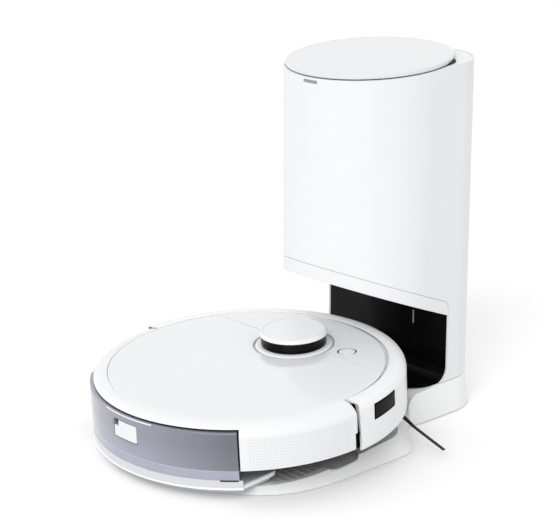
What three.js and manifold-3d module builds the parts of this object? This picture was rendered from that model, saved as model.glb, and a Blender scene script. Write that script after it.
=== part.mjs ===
// Robot vacuum with its self-emptying docking station.
// Millimetres, +Z up. The robot stands nose-in (+Y) on the sloping dock plate of the station.
// The origin lies on the floor, under the middle of the whole set's outline.

import * as THREE from 'three';
import { mergeVertices } from 'three/addons/utils/BufferGeometryUtils.js';
import Module from 'manifold-3d';

const wasm = await Module();
wasm.setup();

// ---------------------------------------------------------------- driving dimensions

// general fits
const SEAT = 0.3; // gap between a piece and the piece that carries it
const RUN = 0.5; // gap beside a piece that moves

// robot, measured in its own frame: origin on its floor plane under its centre, nose towards +Y
const ROBOT_R = 176.5; // bumper
const WALL_STEP = 2; // the bumper stands this far proud of the rear wall
const WALL_R = ROBOT_R - WALL_STEP; // rear side wall
const SHELL_T = 2.4;
const DECK_Z = 79;
const DECK_INSET = 22.5; // from the bumper's face in to the deck disc
const DECK_R = ROBOT_R - DECK_INSET;
const DECK_T = 3;
const DECK_RIM = 3.5; // from the deck disc to the ends of the side wall's top edge
const WALL_BOTTOM = 29;
const RIM_DROP = 12.5; // height of the rounded shoulder of the rear wall
const BUMPER_BOTTOM = 26;
const BUMPER_ROUND = 6;
const BUMPER_END_Y = 1;
const BUMPER_TRAVEL = 3.5;
const SEAM = 5; // open joint between bumper and rear wall
const FLOOR_Z = 12; // underside of the chassis
const BEVEL_R = ROBOT_R - 51.5; // the chassis rises from here out to its edge
const BEVEL_H = 14.5;
const CHASSIS_R = WALL_R - 6.5;
const CHASSIS_T = 2.8;
const CHASSIS_TOP = 34;

// deck flap and turret
const FLAP_Y = 76;
const FLAP_GAP = 0.6;
const FLAP_HINGE_INSET = 2.8;
const TURRET_Y = 66;
const TURRET_R = 39.9;
const TURRET_HOLE_R = 46.5;
const TURRET_BASE_H = 1.3;
const WINDOW_H = 10;
const CAP_H = 4.2;
const BUTTON_X = 63;
const BUTTON_Y = 94;
const BUTTON_R = 10.7;
const BUTTON_TRAVEL = 1.2;

// running gear
const WHEEL_X = ROBOT_R - 61.5;
const WHEEL_R = 32.5;
const WHEEL_W = 18;
const WHEEL_DROP = 0.8; // wheels hang this much below the floor plane, in the dock's wells
const ARM_PIVOT_Y = 44;
const ARM_PIVOT_Z = 38;
const CASTER_Y = ROBOT_R - 58.5;
const CASTER_R = 12.5;
const CASTER_TRAIL = 4;
const BRUSH_Y = -2;
const BRUSH_Z = 19;
const BRUSH_R = 18;
const BRUSH_HALF = WHEEL_X - 39;
const SWEEP_X = ROBOT_R * 0.6;
const SWEEP_Y = ROBOT_R * 0.6;
const SWEEP_REACH = 82;
const SWEEP_ANGLE = 9;
const SWEEP_DROOP = 15; // how far the outermost bristles hang, beside the dock plate

// water tank and mop
const TANK_ANGLE = 45; // half of the arc that the tank spans, about the tail
const TANK_TOP = 70;
const TANK_BOTTOM = 13.8;
const TANK_FRONT_Y = 79.5 - ROBOT_R;
const TANK_WALL = 2;
const LATCH_HALF = 19;
const LATCH_Z = 53;
const LATCH_H = 20;
const LATCH_GAP = 1.6; // dark line round the latch
const MOP_HALF = ROBOT_R - 55.5;
const MOP_R = WALL_R - 4.5;
const MOP_FRONT_Y = -62;
const MOP_TOP = 11.5;
const MOP_T = 5.5;
const PAD_T = 7;

// how the robot stands in the dock
const DOCK_SLOPE = 0.057; // radians, nose up
const DOCK_LIFT = 10.7; // robot's floor plane above the floor, under its centre

// station column: a round front and a flat back
const COLUMN_HALF = 97.5;
const COLUMN_Y = 184;
const COLUMN_REAR = 279;
const COLUMN_CORNER = 46;
const COLUMN_T = 2.5;
const COLUMN_SEAM = 36;
const LEG_FRONT = 219;
const LEG_FOOT_R = 17;
const CUT_Z = 132.5; // slanting lower edge of the column, where it meets the leg
const CUT_SLOPE = 0.396;
const CUT_ROUND = 14;
const TRIM_H = 16;
const TOP_Z = 403.8; // rim of the column at its centre
const TOP_SLOPE = 0.072;
const LID_R = COLUMN_HALF - 2.5;
const LID_T = 4.5;
const LID_GAP = 0.9;
const NOTCH_HALF = 44;
const NOTCH_DEPTH = 11;
const LID_PIVOT_Y = 271;
const LID_PIVOT_DROP = 3;
const PIN_R = 1.5;

// bag bay
const BAY_FLOOR = 195;
const BAY_REAR = 240;
const BAY_INSET = 9.5;
const BAG_HALF = 66;
const BAG_FRONT = 128;
const BAG_H = 150;
const CARD_T = 3;
const INLET_Z = 300;
const DUCT_R = 12;
const DUCT_Y = 256;
const MOTOR_R = 30;
const MOTOR_L = 110;
const MOTOR_Y = 208;

// dock base
const PLATE_HALF = 153;
const PLATE_FRONT = -140;
const PLATE_CORNER_Y = 88; // where the plate starts to narrow towards the column
const PLATE_TAPER = 0.8; // sideways slope of the plate's edge per unit of height
const BLOCK_FLARE = 3.5; // the block under the column widens by this much at the floor
const GROUND = -4; // the floor, in the frame that the station's heights are measured in
const BASE_Z = GROUND + 1.5; // underside of the base, on its feet
const POCKET_GAP = 7.5; // air around the docked robot's nose
const POCKET_R = ROBOT_R + POCKET_GAP;
const TRACK_IN = WHEEL_X - 27;
const TRACK_OUT = WHEEL_X + 19;
const TRACK_END = -22;
const TRACK_EDGE = 0.925; // front edge of the tracks, as a part of the plate's outline
const TRACK_DEPTH = 2.7;
const TRACK_T = 1.3;
const RIB_PITCH = 9;
const RIB_W = 1.2;
const WELL_Y = 10;
const WELL_R = 26;
const COVER_HALF = 45;
const CAVITY_HALF = 60;
const CAVITY_REAR = 268;
const CONTACT_X = 28;
const CONTACT_Y = 62;
const CONTACT_W = 7;
const CONTACT_L = 12;
const ISLAND_H = 8;
const FOOT_R = 9;
const FOOT_T = 2.4;

const ROUND = 52; // facets of the large circles
const SMALL = 20;
const BIG = 600; // larger than the set, for cutting blocks

// ---------------------------------------------------------------- solids and meshes

function toSolid(geometry) {
  const bare = geometry.clone();
  bare.deleteAttribute('normal');
  bare.deleteAttribute('uv');
  const welded = mergeVertices(bare, 1e-3);
  const points = welded.getAttribute('position').array;
  const index = welded.getIndex().array;
  const corners = [];
  let volume = 0;
  const a = new THREE.Vector3();
  const b = new THREE.Vector3();
  const c = new THREE.Vector3();
  for (let i = 0; i < index.length; i += 3) {
    const [p, q, r] = [index[i], index[i + 1], index[i + 2]];
    if (p === q || q === r || r === p) continue;
    corners.push(p, q, r);
    a.fromArray(points, 3 * p);
    b.fromArray(points, 3 * q);
    c.fromArray(points, 3 * r);
    volume += a.dot(b.cross(c));
  }
  if (volume < 0) corners.reverse();
  const mesh = new wasm.Mesh({
    numProp: 3,
    vertProperties: new Float32Array(points),
    triVerts: new Uint32Array(corners),
  });
  return new wasm.Manifold(mesh);
}

function toGeometry(solid) {
  const mesh = solid.getMesh();
  const geometry = new THREE.BufferGeometry();
  geometry.setAttribute('position', new THREE.BufferAttribute(mesh.vertProperties, 3));
  geometry.setIndex(new THREE.BufferAttribute(mesh.triVerts, 1));
  geometry.computeVertexNormals();
  return geometry;
}

function moved(geometry, x, y, z) {
  return geometry.translate(x, y, z);
}

// block between two corners
function block(x0, x1, y0, y1, z0, z1) {
  const geometry = new THREE.BoxGeometry(x1 - x0, y1 - y0, z1 - z0);
  return toSolid(moved(geometry, (x0 + x1) / 2, (y0 + y1) / 2, (z0 + z1) / 2));
}

// upright cylinder
function drum(radius, z0, z1, x = 0, y = 0, facets = SMALL) {
  const geometry = new THREE.CylinderGeometry(radius, radius, z1 - z0, facets).rotateX(Math.PI / 2);
  return toSolid(moved(geometry, x, y, (z0 + z1) / 2));
}

// cylinder along X
function axle(radius, x0, x1, y, z, facets = SMALL) {
  const geometry = new THREE.CylinderGeometry(radius, radius, x1 - x0, facets).rotateZ(Math.PI / 2);
  return toSolid(moved(geometry, (x0 + x1) / 2, y, z));
}

// solid of revolution about Z; the profile is a closed loop of [radius, height], or starts and
// ends on the axis
function revolve(profile, facets = ROUND) {
  const loop = profile.map(([r, z]) => new THREE.Vector2(r, z));
  const onAxis = profile[0][0] === 0 && profile[profile.length - 1][0] === 0;
  if (!onAxis) loop.push(loop[0].clone());
  return toSolid(new THREE.LatheGeometry(loop, facets).rotateX(Math.PI / 2));
}

// profile drawn in (x, y), pushed up from z0 to z1
function prism(shape, z0, z1, facets = 12) {
  const geometry = new THREE.ExtrudeGeometry(shape, {
    depth: z1 - z0,
    bevelEnabled: false,
    curveSegments: facets,
  });
  return toSolid(moved(geometry, 0, 0, z0));
}

// profile drawn in (y, z), pushed along X from x0 to x1
function prismX(shape, x0, x1, facets = 6) {
  const geometry = new THREE.ExtrudeGeometry(shape, {
    depth: x1 - x0,
    bevelEnabled: false,
    curveSegments: facets,
  });
  geometry.rotateY(Math.PI / 2).rotateX(Math.PI / 2);
  return toSolid(moved(geometry, x0, 0, 0));
}

// closed outline through corners [x, y, radius], each rounded by its radius
function rounded(corners) {
  const shape = new THREE.Shape();
  const count = corners.length;
  corners.forEach(([x, y, radius], i) => {
    const before = corners[(i + count - 1) % count];
    const after = corners[(i + 1) % count];
    const u = new THREE.Vector2(before[0] - x, before[1] - y).normalize();
    const v = new THREE.Vector2(after[0] - x, after[1] - y).normalize();
    const half = Math.acos(THREE.MathUtils.clamp(u.dot(v), -1, 1)) / 2;
    const reach = radius / Math.tan(half);
    const start = new THREE.Vector2(x, y).addScaledVector(u, reach);
    if (i === 0) shape.moveTo(start.x, start.y);
    else shape.lineTo(start.x, start.y);
    if (!radius) return;
    const middle = u.clone().add(v).normalize().multiplyScalar(radius / Math.sin(half));
    const [cx, cy] = [x + middle.x, y + middle.y];
    const end = new THREE.Vector2(x, y).addScaledVector(v, reach);
    const from = Math.atan2(start.y - cy, start.x - cx);
    const to = Math.atan2(end.y - cy, end.x - cx);
    shape.absarc(cx, cy, radius, from, to, u.cross(v) > 0);
  });
  return shape;
}

function rectangle(x0, x1, y0, y1, radius = 0) {
  return rounded([
    [x0, y0, radius],
    [x1, y0, radius],
    [x1, y1, radius],
    [x0, y1, radius],
  ]);
}

// wedge between two angles in degrees, for cutting arcs out of rings
function wedge(from, to, z0, z1, radius = BIG) {
  const shape = new THREE.Shape();
  const [start, end] = [THREE.MathUtils.degToRad(from), THREE.MathUtils.degToRad(to)];
  shape.moveTo(0, 0);
  shape.lineTo(radius * Math.cos(start), radius * Math.sin(start));
  shape.absarc(0, 0, radius, start, end, false);
  shape.closePath();
  return prism(shape, z0, z1, 4);
}

// the same solid carried through a matrix
function carried(solid, matrix) {
  const mesh = solid.getMesh();
  const points = new THREE.BufferAttribute(new Float32Array(mesh.vertProperties), 3);
  points.applyMatrix4(matrix);
  const corners = new Uint32Array(mesh.triVerts);
  if (matrix.determinant() < 0) corners.reverse();
  return new wasm.Manifold(new wasm.Mesh({ numProp: 3, vertProperties: points.array, triVerts: corners }));
}

function mirrored(solid) {
  return carried(solid, new THREE.Matrix4().makeScale(-1, 1, 1));
}

function lifted(solid, z) {
  return carried(solid, new THREE.Matrix4().makeTranslation(0, 0, z));
}

function bothSides(solid) {
  return solid.add(mirrored(solid));
}

function union(...solids) {
  return solids.reduce((whole, piece) => whole.add(piece));
}

// ---------------------------------------------------------------- scene graph and materials

const product = new THREE.Group();
const shiftY = -(COLUMN_REAR - ROBOT_R) / 2;
product.position.set(0, shiftY, -GROUND);

const robot = new THREE.Group();
robot.rotation.x = DOCK_SLOPE;
robot.position.z = DOCK_LIFT;
product.add(robot);

// tilted frame of the column's rim, for the lid
const rim = new THREE.Group();
rim.rotation.x = TOP_SLOPE;
rim.position.set(0, COLUMN_Y, TOP_Z);
product.add(rim);

const finishes = {
  white: { color: 0xf4f4f6, roughness: 0.35, metalness: 0 },
  deck: { color: 0xeff0f3, roughness: 0.18, metalness: 0 },
  grey: { color: 0x9a9ca1, roughness: 0.6, metalness: 0 },
  dark: { color: 0x2b2c2f, roughness: 0.6, metalness: 0 },
  black: { color: 0x0b0b0c, roughness: 0.1, metalness: 0 },
  rubber: { color: 0x1d1d1f, roughness: 0.85, metalness: 0 },
  tank: { color: 0xa3a9b7, roughness: 0.15, metalness: 0 },
  clear: { color: 0xd9dce2, roughness: 0.15, metalness: 0 },
  cloth: { color: 0xd8dadf, roughness: 0.95, metalness: 0 },
  paper: { color: 0xe9e6de, roughness: 0.9, metalness: 0 },
  card: { color: 0xc9b28f, roughness: 0.9, metalness: 0 },
  bristle: { color: 0x161616, roughness: 0.8, metalness: 0 },
  accent: { color: 0x3f6fb5, roughness: 0.7, metalness: 0 },
  metal: { color: 0xc8c9cc, roughness: 0.3, metalness: 1 },
};

function piece(parent, name, solid, finish) {
  const mesh = new THREE.Mesh(toGeometry(solid), new THREE.MeshStandardMaterial(finishes[finish]));
  mesh.name = name;
  parent.add(mesh);
  return mesh;
}

// solid built in the robot's frame, brought into the station's frame
function fromRobotFrame(solid) {
  const tilt = new THREE.Matrix4().makeRotationX(DOCK_SLOPE);
  return carried(solid, tilt.setPosition(0, 0, DOCK_LIFT));
}

// solid built in the frame of the column's rim, brought into the station's frame
function fromRimFrame(solid) {
  const tilt = new THREE.Matrix4().makeRotationX(TOP_SLOPE);
  return carried(solid, tilt.setPosition(0, COLUMN_Y, TOP_Z));
}

// everything below a plane through (COLUMN_Y, z) that rises to the rear like the column's rim
function belowRim(offset) {
  return fromRimFrame(block(-BIG, BIG, -BIG, BIG, -BIG, offset));
}

// ---------------------------------------------------------------- station: column

function columnOutline(inset, rear = COLUMN_REAR, corner = COLUMN_CORNER) {
  const half = COLUMN_HALF - inset;
  const back = rear - inset;
  const radius = Math.max(corner - inset, 1);
  const shape = new THREE.Shape();
  shape.moveTo(-half, COLUMN_Y);
  shape.absarc(0, COLUMN_Y, half, Math.PI, 2 * Math.PI, false);
  shape.lineTo(half, back - radius);
  shape.absarc(half - radius, back - radius, radius, 0, Math.PI / 2, false);
  shape.lineTo(-half + radius, back);
  shape.absarc(-half + radius, back - radius, radius, Math.PI / 2, Math.PI, false);
  shape.closePath();
  return shape;
}

// height of the slanting lower edge of the column at a given Y
function cutHeight(y) {
  return CUT_Z + CUT_SLOPE * (LEG_FRONT - y);
}

const FAR_FRONT = -BIG / 2;
const leanGap = SEAT * Math.hypot(1, CUT_SLOPE);

function columnShell() {
  const bottom = COLUMN_SEAM + SEAT;
  const outside = prism(columnOutline(0), bottom, TOP_Z + NOTCH_DEPTH * 2, 16);
  const inside = prism(columnOutline(COLUMN_T), bottom - 1, TOP_Z + NOTCH_DEPTH * 3, 16);
  const bayForRobot = rounded([
    [FAR_FRONT, bottom, 0],
    [LEG_FRONT, bottom, LEG_FOOT_R],
    [LEG_FRONT, CUT_Z, CUT_ROUND],
    [FAR_FRONT, cutHeight(FAR_FRONT), 0],
  ]);
  const serviceHole = block(-REAR_HALF, REAR_HALF, COLUMN_REAR - 10, COLUMN_REAR + 10, REAR_Z0, REAR_Z1);
  const lightSlot = block(LIGHT_X - LIGHT_HALF, LIGHT_X + LIGHT_HALF, 0, COLUMN_Y, LIGHT_Z0, LIGHT_Z1);
  return outside
    .subtract(inside)
    .intersect(belowRim(0))
    .subtract(prismX(bayForRobot, -BIG, BIG))
    .subtract(serviceHole)
    .subtract(lightSlot)
    .subtract(hingeNotch(0));
}

// opening behind the lid for its hinge, wider by a clearance
function hingeNotch(extra) {
  const half = NOTCH_HALF + extra;
  const front = LID_PIVOT_Y - COLUMN_Y - 7;
  return fromRimFrame(block(-half, half, front, BIG, -NOTCH_DEPTH, BIG));
}

const REAR_HALF = 42;
const REAR_Z0 = 70;
const REAR_Z1 = 350;
const LIGHT_X = 4;
const LIGHT_HALF = 10;
const LIGHT_Z0 = TOP_Z - 12.8;
const LIGHT_Z1 = TOP_Z - 9.3;

function statusLight() {
  const front = COLUMN_Y - COLUMN_HALF + 0.8;
  return block(
    LIGHT_X - LIGHT_HALF + SEAT,
    LIGHT_X + LIGHT_HALF - SEAT,
    front,
    front + COLUMN_T / 2,
    LIGHT_Z0 + SEAT,
    LIGHT_Z1 - SEAT,
  );
}

// service panel in the back wall, with louvres for the exhaust air
function rearCover() {
  const half = REAR_HALF - SEAT;
  const [bottom, top] = [REAR_Z0 + SEAT, REAR_Z1 - SEAT];
  let cover = prismY(rectangle(-half, half, bottom, top, 4), COLUMN_REAR - COLUMN_T, COLUMN_REAR);
  const louvres = 9;
  const pitch = 9;
  const first = MOTOR_Z - (pitch * (louvres - 1)) / 2;
  for (let i = 0; i < louvres; i += 1) {
    const z = first + i * pitch;
    const slot = prismY(rectangle(-half + 12, half - 12, z - 2, z + 2), COLUMN_REAR - 5, COLUMN_REAR + 5);
    cover = cover.subtract(slot);
  }
  return cover;
}

// profile drawn in (x, z), pushed along Y from y0 to y1
function prismY(shape, y0, y1, facets = 3) {
  const geometry = new THREE.ExtrudeGeometry(shape, {
    depth: y1 - y0,
    bevelEnabled: false,
    curveSegments: facets,
  });
  geometry.rotateX(Math.PI / 2);
  return toSolid(moved(geometry, 0, y1, 0));
}

// tray that closes the column's slanting underside
function undersideCover() {
  const rear = LEG_FRONT - SEAT;
  const top = CUT_Z + CUT_SLOPE * SEAT - leanGap;
  const rise = CUT_SLOPE * (rear - FAR_FRONT);
  const band = rounded([
    [FAR_FRONT, top + rise, 0],
    [FAR_FRONT, top + rise - TRIM_H, 0],
    [rear, top - TRIM_H, 0],
    [rear, top, CUT_ROUND - SEAT],
  ]);
  const floor = top - TRIM_H + COLUMN_T;
  const hollow = rounded([
    [FAR_FRONT, floor + rise, 0],
    [rear - COLUMN_T, floor + CUT_SLOPE * COLUMN_T, 0],
    [rear - COLUMN_T, BIG, 0],
    [FAR_FRONT, BIG, 0],
  ]);
  const solid = prism(columnOutline(0), 0, TOP_Z, 16).intersect(prismX(band, -BIG, BIG));
  const inside = prism(columnOutline(COLUMN_T), 0, TOP_Z, 16).intersect(prismX(hollow, -BIG, BIG));
  return solid.subtract(inside);
}

// glossy back wall of the docking bay, with its foot curved forward
function dockPanel() {
  const half = COLUMN_HALF - COLUMN_T - SEAT;
  const top = CUT_Z - TRIM_H - leanGap - SEAT;
  const profile = rounded([
    [PANEL_FRONT, COLUMN_SEAM, 0],
    [LEG_FRONT, COLUMN_SEAM, LEG_FOOT_R],
    [LEG_FRONT, top, 0],
    [LEG_FRONT + PANEL_T, top, 0],
    [LEG_FRONT + PANEL_T, COLUMN_SEAM - PANEL_T, LEG_FOOT_R + PANEL_T],
    [PANEL_FRONT, COLUMN_SEAM - PANEL_T, 0],
  ]);
  return prismX(profile, -half, half).intersect(prism(columnOutline(COLUMN_T + SEAT), 0, TOP_Z, 16));
}

const PANEL_T = 2.5;
const PANEL_FRONT = LEG_FRONT - LEG_FOOT_R - 2;

// ---------------------------------------------------------------- station: bag bay

function bagChamber() {
  const outer = prism(columnOutline(BAY_INSET, BAY_REAR + BAY_INSET, 30), BAY_FLOOR, TOP_Z + 40, 7);
  const wall = BAY_INSET + COLUMN_T;
  const inner = prism(
    columnOutline(wall, BAY_REAR + BAY_INSET, 30),
    BAY_FLOOR + COLUMN_T,
    TOP_Z + 40,
    32,
  );
  const flangeTop = -2 * SEAT;
  const flangeT = 3;
  const flange = prism(columnOutline(COLUMN_T + SEAT), 0, TOP_Z + 40, 10)
    .intersect(belowRim(flangeTop))
    .subtract(belowRim(flangeTop - flangeT));
  const earX = NOTCH_HALF + SEAT;
  const earY = LID_PIVOT_Y - COLUMN_Y;
  const ear = block(earX, earX + 8, earY - 6, earY + 4.5, -NOTCH_DEPTH, flangeTop - flangeT / 2);
  const ears = fromRimFrame(bothSides(ear));
  const pinHole = axle(PIN_R + SEAT, -NOTCH_HALF - 20, NOTCH_HALF + 20, earY, -LID_PIVOT_DROP, 16);
  const inletHole = prismY(circle(DUCT_R - 2, 0, INLET_Z), BAY_REAR - 20, BAY_REAR + 5, 16);
  return union(outer, flange, ears)
    .intersect(belowRim(flangeTop))
    .subtract(inner)
    .subtract(hingeNotch(0))
    .subtract(fromRimFrame(pinHole))
    .subtract(inletHole);
}

function circle(radius, x, y) {
  const shape = new THREE.Shape();
  shape.absarc(x, y, radius, 0, 2 * Math.PI, false);
  return shape;
}

const BAY_BACK_FACE = BAY_REAR - COLUMN_T;
const BAY_BASE = BAY_FLOOR + COLUMN_T + SEAT;
const CARD_HALF = 52;
const CARD_TOP = 352;

function bagCard() {
  const outline = rectangle(-CARD_HALF, CARD_HALF, BAY_BASE, CARD_TOP, 8);
  outline.holes.push(circle(DUCT_R + 4, 0, INLET_Z));
  const tab = rectangle(-18, 18, CARD_TOP - 10, CARD_TOP + 22, 6);
  tab.holes.push(rectangle(-11, 11, CARD_TOP + 8, CARD_TOP + 16, 3));
  const y1 = BAY_BACK_FACE - SEAT;
  return union(prismY(outline, y1 - CARD_T, y1), prismY(tab, y1 - CARD_T, y1));
}

// paper bag, filled: a block with bulging round edges
function dustBag() {
  const rear = BAY_BACK_FACE - SEAT - CARD_T - SEAT;
  const bulge = 10;
  const outline = rectangle(-BAG_HALF + bulge, BAG_HALF - bulge, BAG_FRONT + bulge, rear - bulge, 14);
  const geometry = new THREE.ExtrudeGeometry(outline, {
    depth: BAG_H - 2 * bulge,
    bevelThickness: bulge,
    bevelSize: bulge,
    bevelSegments: 2,
    curveSegments: 3,
  });
  return toSolid(moved(geometry, 0, 0, BAY_BASE + bulge));
}

const MOTOR_Z = BAY_FLOOR - SEAT - MOTOR_R;

function suctionMotor() {
  const half = MOTOR_L / 2;
  const shell = axle(MOTOR_R, -half, half, MOTOR_Y, MOTOR_Z, 16);
  const waist = union(
    axle(MOTOR_R + 5, -half / 3, -half / 3 + 6, MOTOR_Y, MOTOR_Z, 16),
    axle(MOTOR_R + 5, half / 3 - 6, half / 3, MOTOR_Y, MOTOR_Z, 16),
  );
  const snout = axle(MOTOR_R * 0.4, half - 1, half + 10, MOTOR_Y, MOTOR_Z);
  const collars = waist.intersect(block(-BIG, BIG, -BIG, BIG, -BIG, MOTOR_Z + MOTOR_R));
  return union(shell, collars, snout);
}

// riser from the base to the bag's inlet
function dustDuct() {
  const bend = 16;
  const path = new THREE.CurvePath();
  const corner = new THREE.Vector3(0, DUCT_Y, INLET_Z);
  const bendStart = new THREE.Vector3(0, DUCT_Y, INLET_Z - bend);
  const outlet = new THREE.Vector3(0, BAY_REAR + SEAT, INLET_Z);
  path.add(new THREE.LineCurve3(new THREE.Vector3(0, DUCT_Y, DUCT_FOOT), bendStart));
  path.add(new THREE.QuadraticBezierCurve3(bendStart, corner, outlet));
  const section = circle(DUCT_R, 0, 0);
  section.holes.push(circle(DUCT_R - 2, 0, 0));
  const geometry = new THREE.ExtrudeGeometry(section, { steps: 9, curveSegments: 4, extrudePath: path });
  return toSolid(geometry);
}

const DUCT_FOOT = 24;

// ---------------------------------------------------------------- station: lid

function stationLid() {
  const z0 = LID_GAP;
  const z1 = LID_GAP + LID_T;
  const edge = 1.2;
  const plate = revolve([
    [0, z0],
    [LID_R - edge, z0],
    [LID_R, z0 + edge],
    [LID_R, z1 - edge],
    [LID_R - edge, z1],
    [0, z1],
  ]);
  const skirt = mouthRing(1.5, 4, -5, z0 + 1);
  const y = LID_PIVOT_Y - COLUMN_Y;
  const barrelHalf = NOTCH_HALF - RUN;
  const barrel = axle(PIN_R + 2.2, -barrelHalf, barrelHalf, y, -LID_PIVOT_DROP, 20);
  const web = block(-barrelHalf + 4, barrelHalf - 4, y - 3, y + 2, -LID_PIVOT_DROP, z0 + 1)
    .intersect(drum(LID_R - 1, -10, 10, 0, 0, ROUND));
  return union(plate, skirt, barrel, web)
    .subtract(axle(PIN_R + SEAT, -BIG, BIG, y, -LID_PIVOT_DROP, 20));
}

// ring that follows the mouth of the bag chamber, in the frame of the column's rim; its sides
// lie at two distances inside the mouth
function mouthRing(outside, inside, z0, z1) {
  const ring = mouth(outside, z0, z1).subtract(mouth(inside, z0 - 1, z1 + 1));
  return carried(ring, new THREE.Matrix4().makeTranslation(0, -COLUMN_Y, 0));
}

function mouth(inset, z0, z1) {
  return prism(columnOutline(BAY_INSET + COLUMN_T + inset, BAY_REAR + BAY_INSET, 30), z0, z1, 7);
}

function lidSeal() {
  return mouthRing(-4.5, -0.5, -SEAT, LID_GAP - SEAT);
}

// ---------------------------------------------------------------- station: base

function plateOutline() {
  const shape = new THREE.Shape();
  const tip = 0.36 * PLATE_HALF;
  shape.moveTo(0, PLATE_FRONT);
  const right = [
    [0.8 * PLATE_HALF, PLATE_FRONT + 10, PLATE_HALF, PLATE_FRONT + 58, PLATE_HALF, 0],
  ];
  right.forEach((curve) => shape.bezierCurveTo(...curve));
  shape.lineTo(PLATE_HALF, PLATE_CORNER_Y);
  shape.bezierCurveTo(PLATE_HALF, PLATE_CORNER_Y + 30, PLATE_HALF - tip / 2, PLATE_CORNER_Y + 36,
    COLUMN_HALF, COLUMN_Y - 28);
  shape.lineTo(COLUMN_HALF - 4, COLUMN_Y + 16);
  shape.lineTo(-COLUMN_HALF + 4, COLUMN_Y + 16);
  shape.lineTo(-COLUMN_HALF, COLUMN_Y - 28);
  shape.bezierCurveTo(-PLATE_HALF + tip / 2, PLATE_CORNER_Y + 36, -PLATE_HALF, PLATE_CORNER_Y + 30,
    -PLATE_HALF, PLATE_CORNER_Y);
  shape.lineTo(-PLATE_HALF, 0);
  shape.bezierCurveTo(-PLATE_HALF, PLATE_FRONT + 58, -0.8 * PLATE_HALF, PLATE_FRONT + 10, 0, PLATE_FRONT);
  return shape;
}

// upright prism whose outline shrinks with height, by inset per unit of height, towards a centre
function tapered(shape, z0, z1, inset, half, centreY, facets = 10) {
  const geometry = new THREE.ExtrudeGeometry(shape, { depth: z1 - z0, bevelEnabled: false, curveSegments: facets });
  const position = geometry.getAttribute('position');
  const scale = 1 - (inset * (z1 - z0)) / half;
  for (let i = 0; i < position.count; i += 1) {
    const top = position.getZ(i) > (z1 - z0) / 2;
    const factor = top ? scale : 1;
    position.setX(i, position.getX(i) * factor);
    position.setY(i, centreY + (position.getY(i) - centreY) * factor);
  }
  return toSolid(moved(geometry, 0, 0, z0));
}

// everything below the dock plate's sloping top, in the station's frame
function belowRamp(offset) {
  return fromRobotFrame(block(-BIG, BIG, -BIG, BIG, -BIG, offset));
}

const RAMP = -SEAT; // plate's top in the robot's frame
const PLATE_CENTRE_Y = 20;

function dockPlate() {
  return tapered(plateOutline(), BASE_Z, BASE_Z + 28, PLATE_TAPER, PLATE_HALF, PLATE_CENTRE_Y)
    .intersect(belowRamp(RAMP));
}

function dockBlock() {
  const height = COLUMN_SEAM - BASE_Z;
  const flared = COLUMN_HALF + BLOCK_FLARE;
  const wide = tapered(columnOutline(-BLOCK_FLARE), BASE_Z, COLUMN_SEAM, BLOCK_FLARE / height, flared, COLUMN_Y, 14);
  const front = COLUMN_Y - 26;
  const cheek = rounded([
    [front, GROUND - 10, 0],
    [COLUMN_REAR + 50, GROUND - 10, 0],
    [COLUMN_REAR + 50, COLUMN_SEAM, 0],
    [PANEL_FRONT, COLUMN_SEAM, 0],
    [front, COLUMN_SEAM - 4, 15],
  ]);
  const panelSeat = prism(columnOutline(COLUMN_T), COLUMN_SEAM - PANEL_T - SEAT, BIG, 16)
    .intersect(block(-BIG, BIG, PANEL_FRONT - SEAT, LEG_FRONT - LEG_FOOT_R, 0, BIG));
  const bend = prismX(
    rounded([
      [PANEL_FRONT - SEAT, BIG, 0],
      [PANEL_FRONT - SEAT, COLUMN_SEAM - PANEL_T - SEAT, 0],
      [LEG_FRONT + PANEL_T + SEAT, COLUMN_SEAM - PANEL_T - SEAT, 0],
      [LEG_FRONT + PANEL_T + SEAT, BIG, 0],
    ]),
    -COLUMN_HALF + COLUMN_T,
    COLUMN_HALF - COLUMN_T,
  );
  return wide
    .intersect(prismX(cheek, -BIG, BIG))
    .subtract(drum(POCKET_R, 0, TOP_Z, 0, 0, ROUND))
    .subtract(panelSeat)
    .subtract(bend.intersect(prism(columnOutline(COLUMN_T), 0, BIG, 16)));
}

// plate that closes the air channel from below: under the inlet, the channel and the column
function coverOutline(extra, z0, z1) {
  const [wide, narrow, rear] = [INLET_HALF + 5 + extra, COVER_HALF + extra, CAVITY_HALF + 5 + extra];
  const front = INLET_Y0 - 10 - extra;
  return union(
    block(-narrow, narrow, front, COLUMN_Y, z0, z1),
    block(-wide, wide, front, INLET_Y1 + 10 + extra, z0, z1),
    block(-rear, rear, COLUMN_Y - 1, CAVITY_REAR + 4 + extra, z0, z1),
  );
}

const INLET_HALF = BRUSH_HALF + 4;
const INLET_Y0 = BRUSH_Y - 16;
const INLET_Y1 = BRUSH_Y + 16;
const COVER_T = 1.8;

function baseCover() {
  return coverOutline(0, BASE_Z, BASE_Z + COVER_T);
}

// outline of one ribbed track and of the dish behind it, grown by a clearance
function trackOutline(extra, z0, z1) {
  const inner = TRACK_IN - extra;
  const outer = TRACK_OUT + extra;
  const strip = block(inner, outer, PLATE_FRONT, WELL_Y, z0, z1);
  const edge = new THREE.Matrix4().makeScale(TRACK_EDGE, TRACK_EDGE, 1);
  const plate = carried(prism(plateOutline(), z0, z1, 8), edge.setPosition(0, 4 - extra, 0));
  const dish = prism(
    rounded([
      [inner, WELL_Y - WELL_R - extra, 0],
      [TRACK_OUT + 14 + extra, WELL_Y - WELL_R - extra, 12],
      [TRACK_OUT + 14 + extra, WELL_Y + 14 + extra, 14],
      [TRACK_OUT - 2 + extra, WELL_Y + WELL_R + extra, 6],
      [inner, WELL_Y + WELL_R + extra, 5],
    ]),
    z0,
    z1,
    4,
  );
  return strip.intersect(plate).add(dish);
}

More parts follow.
